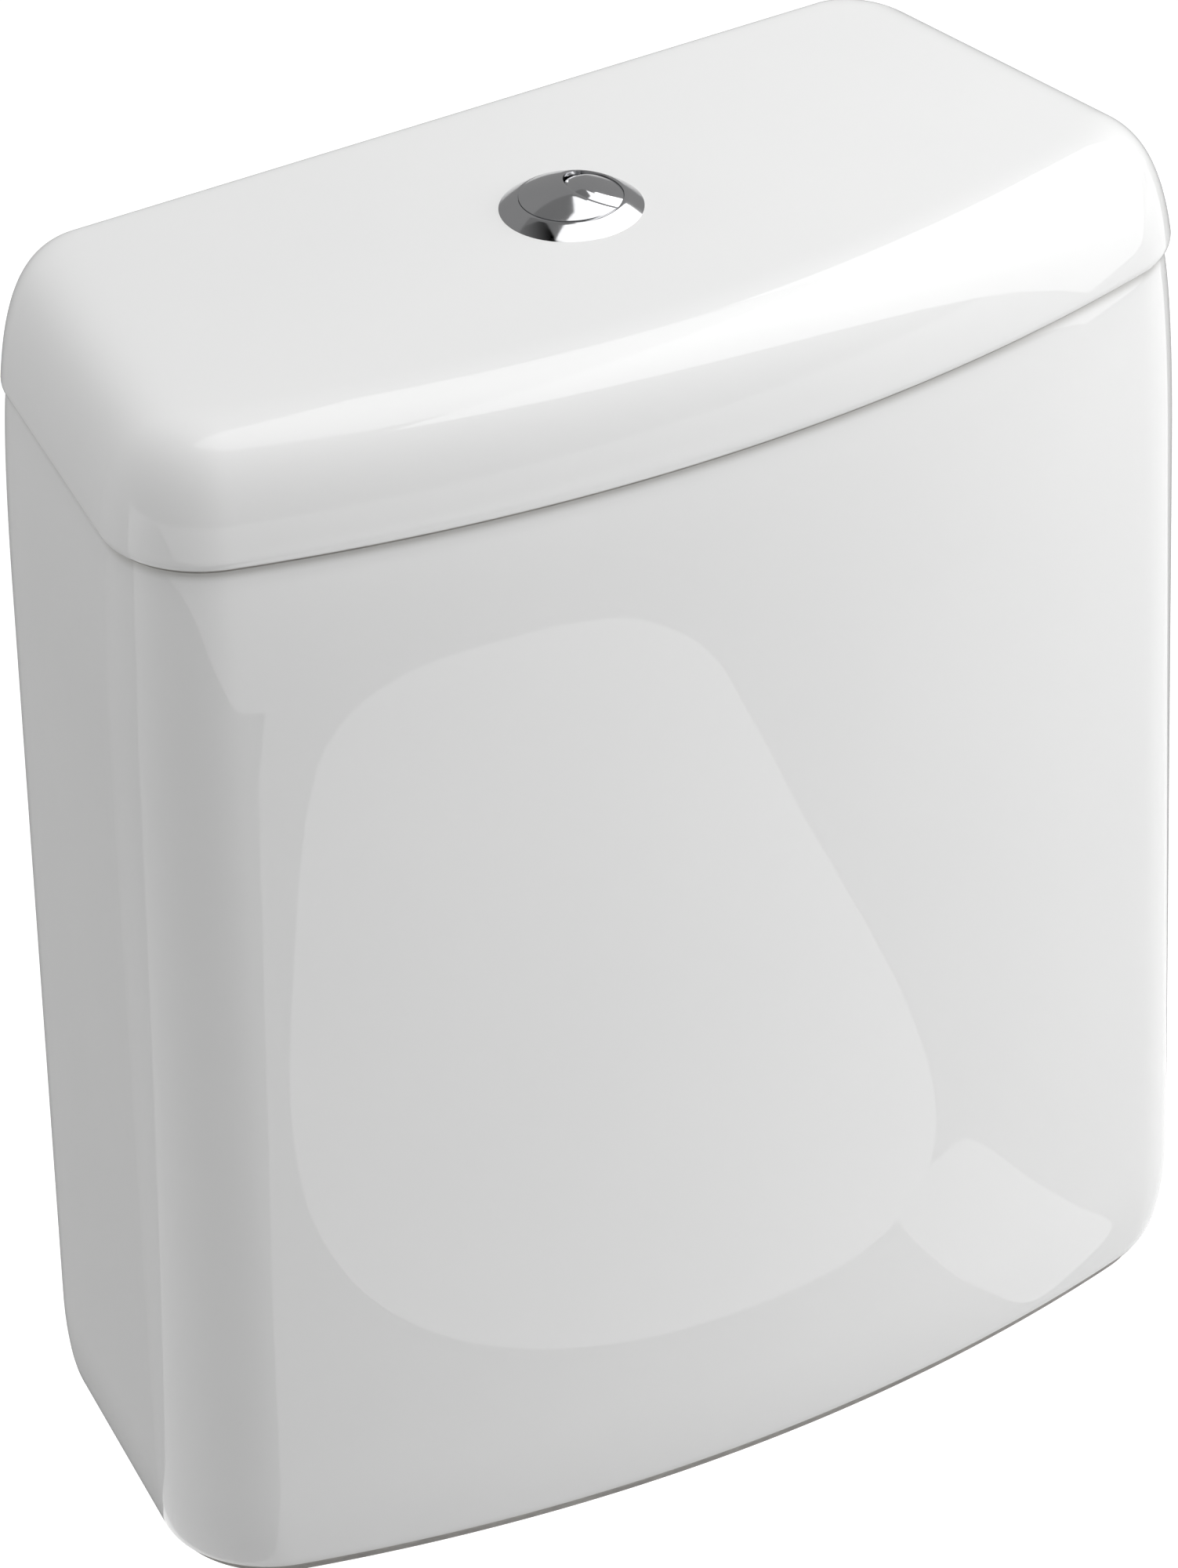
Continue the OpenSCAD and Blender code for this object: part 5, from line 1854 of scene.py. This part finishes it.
@dataclass
class Fixings:
    """The two bolts that couple the tank to the pan, with what is on them."""

    out: float = 72.0
    bolt_r: float = 4.0
    shank_r: float = 3.55
    head_z: float = 20.0
    head_top: float = 26.0
    pan_z: float = -33.0
    end_z: float = -54.0

    def wing(self, item: Solid, at: Matrix) -> None:
        """Adds a wing nut below the pan.

        Args:
            item: The solid that takes it.
            at: Place of its bolt.
        """
        hub = [(4.05, -46.0), (6.2, -46.0), (8.0, -38.0), (8.0, -36.0), (4.05, -36.0)]
        item.turn(rounded(hub, 0.6), 48, place=at)
        outline = [(5.0, -44.5), (7.0, -47.5), (10.5, -50.0), (13.5, -50.0), (15.0, -48.4), (15.0, -44.5)]
        outline += [(13.2, -41.4), (10.0, -40.0), (5.0, -38.5)]
        for side in (0, 180):
            upright = at @ spin(side, "Z") @ move(0, 1.5, 0) @ spin(90, "X")
            item.plate(outline, 0.0, 3.0, 0.7, upright)

    def build(self, bench: Bench) -> None:
        """Makes the fixings.

        Args:
            bench: Where the pieces are finished.
        """
        bolts, seals, washers, pads, wings = (Solid() for _ in range(5))
        flat = 7.5 * math.cos(math.pi / 6)
        for side in (-1, 1):
            at = move(side * self.out)
            bolts.rod(self.bolt_r, 0.0, self.head_z + 0.2, 0.3, 40, at)
            bolts.rod(self.shank_r, self.pan_z - 0.2, 0.2, 0.1, 40, at)
            bolts.rod(self.bolt_r - 0.7, self.end_z, self.pan_z, 0.5, 40, at)
            bolts.thread(self.bolt_r, 0.65, 1.25, self.end_z + 0.6, self.pan_z, 32, at)
            bolts.turn(
                [
                    (0.2, self.head_z),
                    (hexagon(7.5), self.head_z),
                    (hexagon(7.48), self.head_top - 0.8),
                    (hexagon(7.5, flat), self.head_top),
                    (0.2, self.head_top),
                ],
                72,
                Ends.CAPS,
                at,
            )
            cone = rounded([(4.3, 12.0), (13.0, 12.0), (10.0, 18.0), (4.3, 18.0)], 0.8)
            seals.turn(cone, 56, place=at)
            washers.ring(4.3, 11.0, 18.0, self.head_z, 0.4, at)
            pads.ring(4.3, 12.0, -36.0, self.pan_z, 0.8, at)
            self.wing(wings, at)
        bench.put(bolts.object("pan_bolts"), Body.TANK, Slot.STEEL, "coupling_bolts")
        bench.put(seals.object("bolt_cone_seals"), Body.TANK, Slot.RUBBER, "bolt_seals")
        bench.put(washers.object("bolt_flat_washers"), Body.TANK, Slot.STEEL, "bolt_washers")
        bench.put(pads.object("pan_pad_washers"), Body.TANK, Slot.RUBBER, "pan_washers")
        bench.put(wings.object("bolt_wing_nuts"), Body.TANK, Slot.STEEL, "wing_nuts")


def facing(corner: Vector, along: Vector, aside: Vector) -> Matrix:
    """The place of a rectangle whose back is on the side from which along turns to aside.

    Args:
        corner: One corner.
        along: The edge that becomes its x axis.
        aside: The other edge from that corner.

    Returns:
        The rectangle's matrix, with its middle as origin.
    """
    back = along.cross(aside).normalized()
    turn = Matrix((along.normalized(), back.cross(along.normalized()), back)).transposed()
    return Matrix.Translation(corner + (along + aside) / 2) @ turn.to_4x4()


@dataclass(frozen=True)
class Softbox:
    """A soft rectangular lamp that isn't mirrored, given by one corner and the two edges that leave it."""

    name: str
    corner: Point
    along: Point
    aside: Point
    power: float

    def build(self) -> None:
        """Makes the lamp."""
        lamp = bpy.data.lights.new(self.name, "AREA")
        lamp.shape = "RECTANGLE"
        along, aside = Vector(self.along), Vector(self.aside)
        lamp.size, lamp.size_y = along.length, aside.length
        lamp.energy = self.power
        item = bpy.data.objects.new(self.name, lamp)
        item.matrix_world = facing(Vector(self.corner), along, aside)
        item.visible_glossy = False
        bpy.context.scene.collection.objects.link(item)


@dataclass(frozen=True)
class Card:
    """A flat card that only mirrored rays see, with a glow at its first edge and one at the edge aside."""

    name: str
    glow: tuple[float, float]
    corner: Point
    along: Point
    aside: Point

    def outline(self) -> list[Point]:
        """The card's corners."""
        corner, along, aside = Vector(self.corner), Vector(self.along), Vector(self.aside)
        return [tuple(p) for p in (corner, corner + along, corner + along + aside, corner + aside)]

    def build(self) -> None:
        """Makes the card."""
        mesh = bpy.data.meshes.new(self.name)
        corners = self.outline()
        mesh.from_pydata(corners, [], [tuple(range(len(corners)))])
        item = bpy.data.objects.new(self.name, mesh)
        bpy.context.scene.collection.objects.link(item)
        aside = Vector(self.aside)
        shade = mesh.attributes.new("glow", "FLOAT", "POINT")
        for i, p in enumerate(corners):
            share = (Vector(p) - Vector(self.corner)).dot(aside) / aside.length_squared
            shade.data[i].value = self.glow[0] + (self.glow[1] - self.glow[0]) * share
        graph = Graph(self.name)
        graph.constant(Base_Color=(0.0, 0.0, 0.0, 1.0), Roughness=1.0, Specular_IOR_Level=0.0)
        graph.constant(Emission_Color=(1.0, 1.0, 1.0, 1.0))
        graph.stored_glow("glow")
        mesh.materials.append(graph.material)
        item.visible_camera = False
        item.visible_diffuse = False
        item.visible_shadow = False
        item.visible_transmission = False


@dataclass(frozen=True)
class OvalCard(Card):
    """A card that fills its leaning frame with a squarish oval."""

    squareness: float

    def outline(self) -> list[Point]:
        """Points of a superellipse in the frame.

        Returns:
            The points.
        """
        steps, bend = 96, 2.0 / self.squareness
        corner, along, aside = Vector(self.corner), Vector(self.along), Vector(self.aside)
        points = []
        for i in range(steps):
            a = 2 * math.pi * i / steps
            wide = math.copysign(abs(math.cos(a)) ** bend, math.cos(a))
            deep = math.copysign(abs(math.sin(a)) ** bend, math.sin(a))
            points.append(tuple(corner + along * (0.5 + wide / 2) + aside * (0.5 + deep / 2)))
        return points


@dataclass
class Studio:
    """Floor, lamps, cards and camera."""

    floor_z: float = -0.40
    floor_size: float = 14.0
    floor_dark: Colour = (0.50, 0.50, 0.50)
    floor_light: Colour = (0.54, 0.54, 0.54)
    floor_glow: float = 0.65
    sky: float = 0.36
    mirrored_sky: float = 0.18
    camera_place: Point = (-1.27028, -2.23530, 1.82656)
    azimuth: float = -0.516459
    elevation: float = 0.562349
    roll: float = -0.034893
    lens: float = 219.815
    lamps: tuple[Softbox, ...] = (
        Softbox("key_panel", (-0.03, -0.75, 1.04), (1.50, -0.26, -1.26), (1.86, 1.74, 1.80), 26.6),
        Softbox("top_box", (-0.65, 0.65, 2.3), (0.0, -2.0, 0.0), (2.0, 0.0, 0.0), 23.0),
        Softbox("front_box", (-0.4, -2.8, -0.2), (1.4, 0.0, 0.0), (0.0, 0.1, 0.9), 13.2),
        Softbox("left_box", (-1.5, 2.0, -0.3), (-1.0, -1.2, 0.0), (0.0, 0.0, 1.2), 18.4),
    )
    cards: tuple[Card, ...] = (
        Card("key_card", (2.2, 2.2), (0.0, -0.72, 1.06), (1.50, -0.26, -1.26), (1.86, 1.74, 1.80)),
        Card("side_card", (2.0, 2.0), (1.60, 0.20, 0.25), (-0.35, 0.95, 0.0), (0.0, 0.0, 2.35)),
        Card("top_card", (1.4, 1.4), (-0.70, -0.15, 2.25), (0.90, -1.35, 0.0), (1.05, 0.60, 0.0)),
        Card("back_card", (1.4, 1.4), (0.32, 0.42, 2.25), (0.90, -1.35, 0.0), (0.45, 0.85, 0.0)),
        Card("back_flag", (0.25, 0.25), (-1.40, 0.45, -0.40), (3.20, 0.0, 0.0), (0.0, 0.0, 1.40)),
        Card("floor_flag", (0.15, 1.15), (-6.0, -1.30, -0.39), (5.75, 0.0, 0.0), (0.0, 2.60, 0.0)),
        Card(
            "dark_corner",
            (0.18, 0.03),
            (-0.573, 0.683, 1.218),
            (-0.195, -0.616, 0.116),
            (0.31, -0.227, 0.276),
        ),
        OvalCard(
            "oval_card",
            (2.0, 2.0),
            (-0.150, -0.575, 0.06),
            (0.344, 0.0, 0.0),
            (-0.028, 0.478, 0.0),
            2.7,
        ),
        OvalCard(
            "corner_card",
            (1.9, 1.9),
            (0.122, -0.178, 0.0),
            (0.064, 0.0, 0.0),
            (-0.008, 0.096, 0.0),
            6.0,
        ),
    )

    def floor(self) -> None:
        """Makes the pale floor."""
        half = self.floor_size / 2
        mesh = bpy.data.meshes.new("studio_floor")
        corners = [(-half, -half, 0), (half, -half, 0), (half, half, 0), (-half, half, 0)]
        mesh.from_pydata(corners, [], [(0, 1, 2, 3)])
        item = bpy.data.objects.new("studio_floor", mesh)
        item.location.z = self.floor_z
        bpy.context.scene.collection.objects.link(item)
        graph = Graph("studio_floor")
        graph.constant(Roughness=0.9, Emission_Color=(1.0, 1.0, 1.0, 1.0))
        graph.tone(graph.noise(3.0, 3.0), self.floor_dark, self.floor_light)
        graph.seen_glow(self.floor_glow)
        mesh.materials.append(graph.material)

    def world(self) -> None:
        """Makes the even light from all round, in a room that mirrors dark."""
        world = bpy.data.worlds.new("studio_air")
        world.use_nodes = True
        nodes, links = world.node_tree.nodes, world.node_tree.links
        level = nodes.new("ShaderNodeMapRange")
        level.inputs["To Min"].default_value = self.sky
        level.inputs["To Max"].default_value = self.mirrored_sky
        links.new(nodes.new("ShaderNodeLightPath").outputs["Is Glossy Ray"], level.inputs["Value"])
        nodes["Background"].inputs["Color"].default_value = (1.0, 1.0, 1.0, 1.0)
        links.new(level.outputs["Result"], nodes["Background"].inputs["Strength"])
        bpy.context.scene.world = world

    def camera(self) -> None:
        """Sets the camera at the photograph's angle."""
        az, el, roll = self.azimuth, self.elevation, self.roll
        back = Vector((math.sin(az) * math.cos(el), -math.cos(az) * math.cos(el), math.sin(el)))
        level = Vector((math.cos(az), math.sin(az), 0.0))
        rise = back.cross(level)
        right = level * math.cos(roll) + rise * math.sin(roll)
        up = rise * math.cos(roll) - level * math.sin(roll)
        turn = Matrix((right, up, back)).transposed()
        data = bpy.data.cameras.new("photo_camera")
        data.sensor_fit = "VERTICAL"
        data.sensor_height = 36.0
        data.lens = self.lens
        data.clip_end = 60.0
        item = bpy.data.objects.new("photo_camera", data)
        item.matrix_world = Matrix.Translation(self.camera_place) @ turn.to_4x4()
        bpy.context.scene.collection.objects.link(item)
        bpy.context.scene.camera = item

    def build(self) -> None:
        """Makes the studio."""
        self.camera()
        self.floor()
        self.world()
        for piece in (*self.lamps, *self.cards):
            piece.build()
        bpy.context.scene.view_settings.view_transform = "Standard"


def main() -> None:
    """Builds every sub-assembly, logging the frame's entry count and each finished part."""
    logging.basicConfig(level=logging.INFO, format="%(name)s: %(message)s")
    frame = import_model()
    log.info("the frame has %d entries", len(frame))
    bench = Bench()
    Studio().build()
    for part in (Pottery(), FlushButton(), FlushValve(), FillValve(), Fixings()):
        part.build(bench)
        log.info("%s is complete", type(part).__name__)


if __name__ == "__main__":
    main()
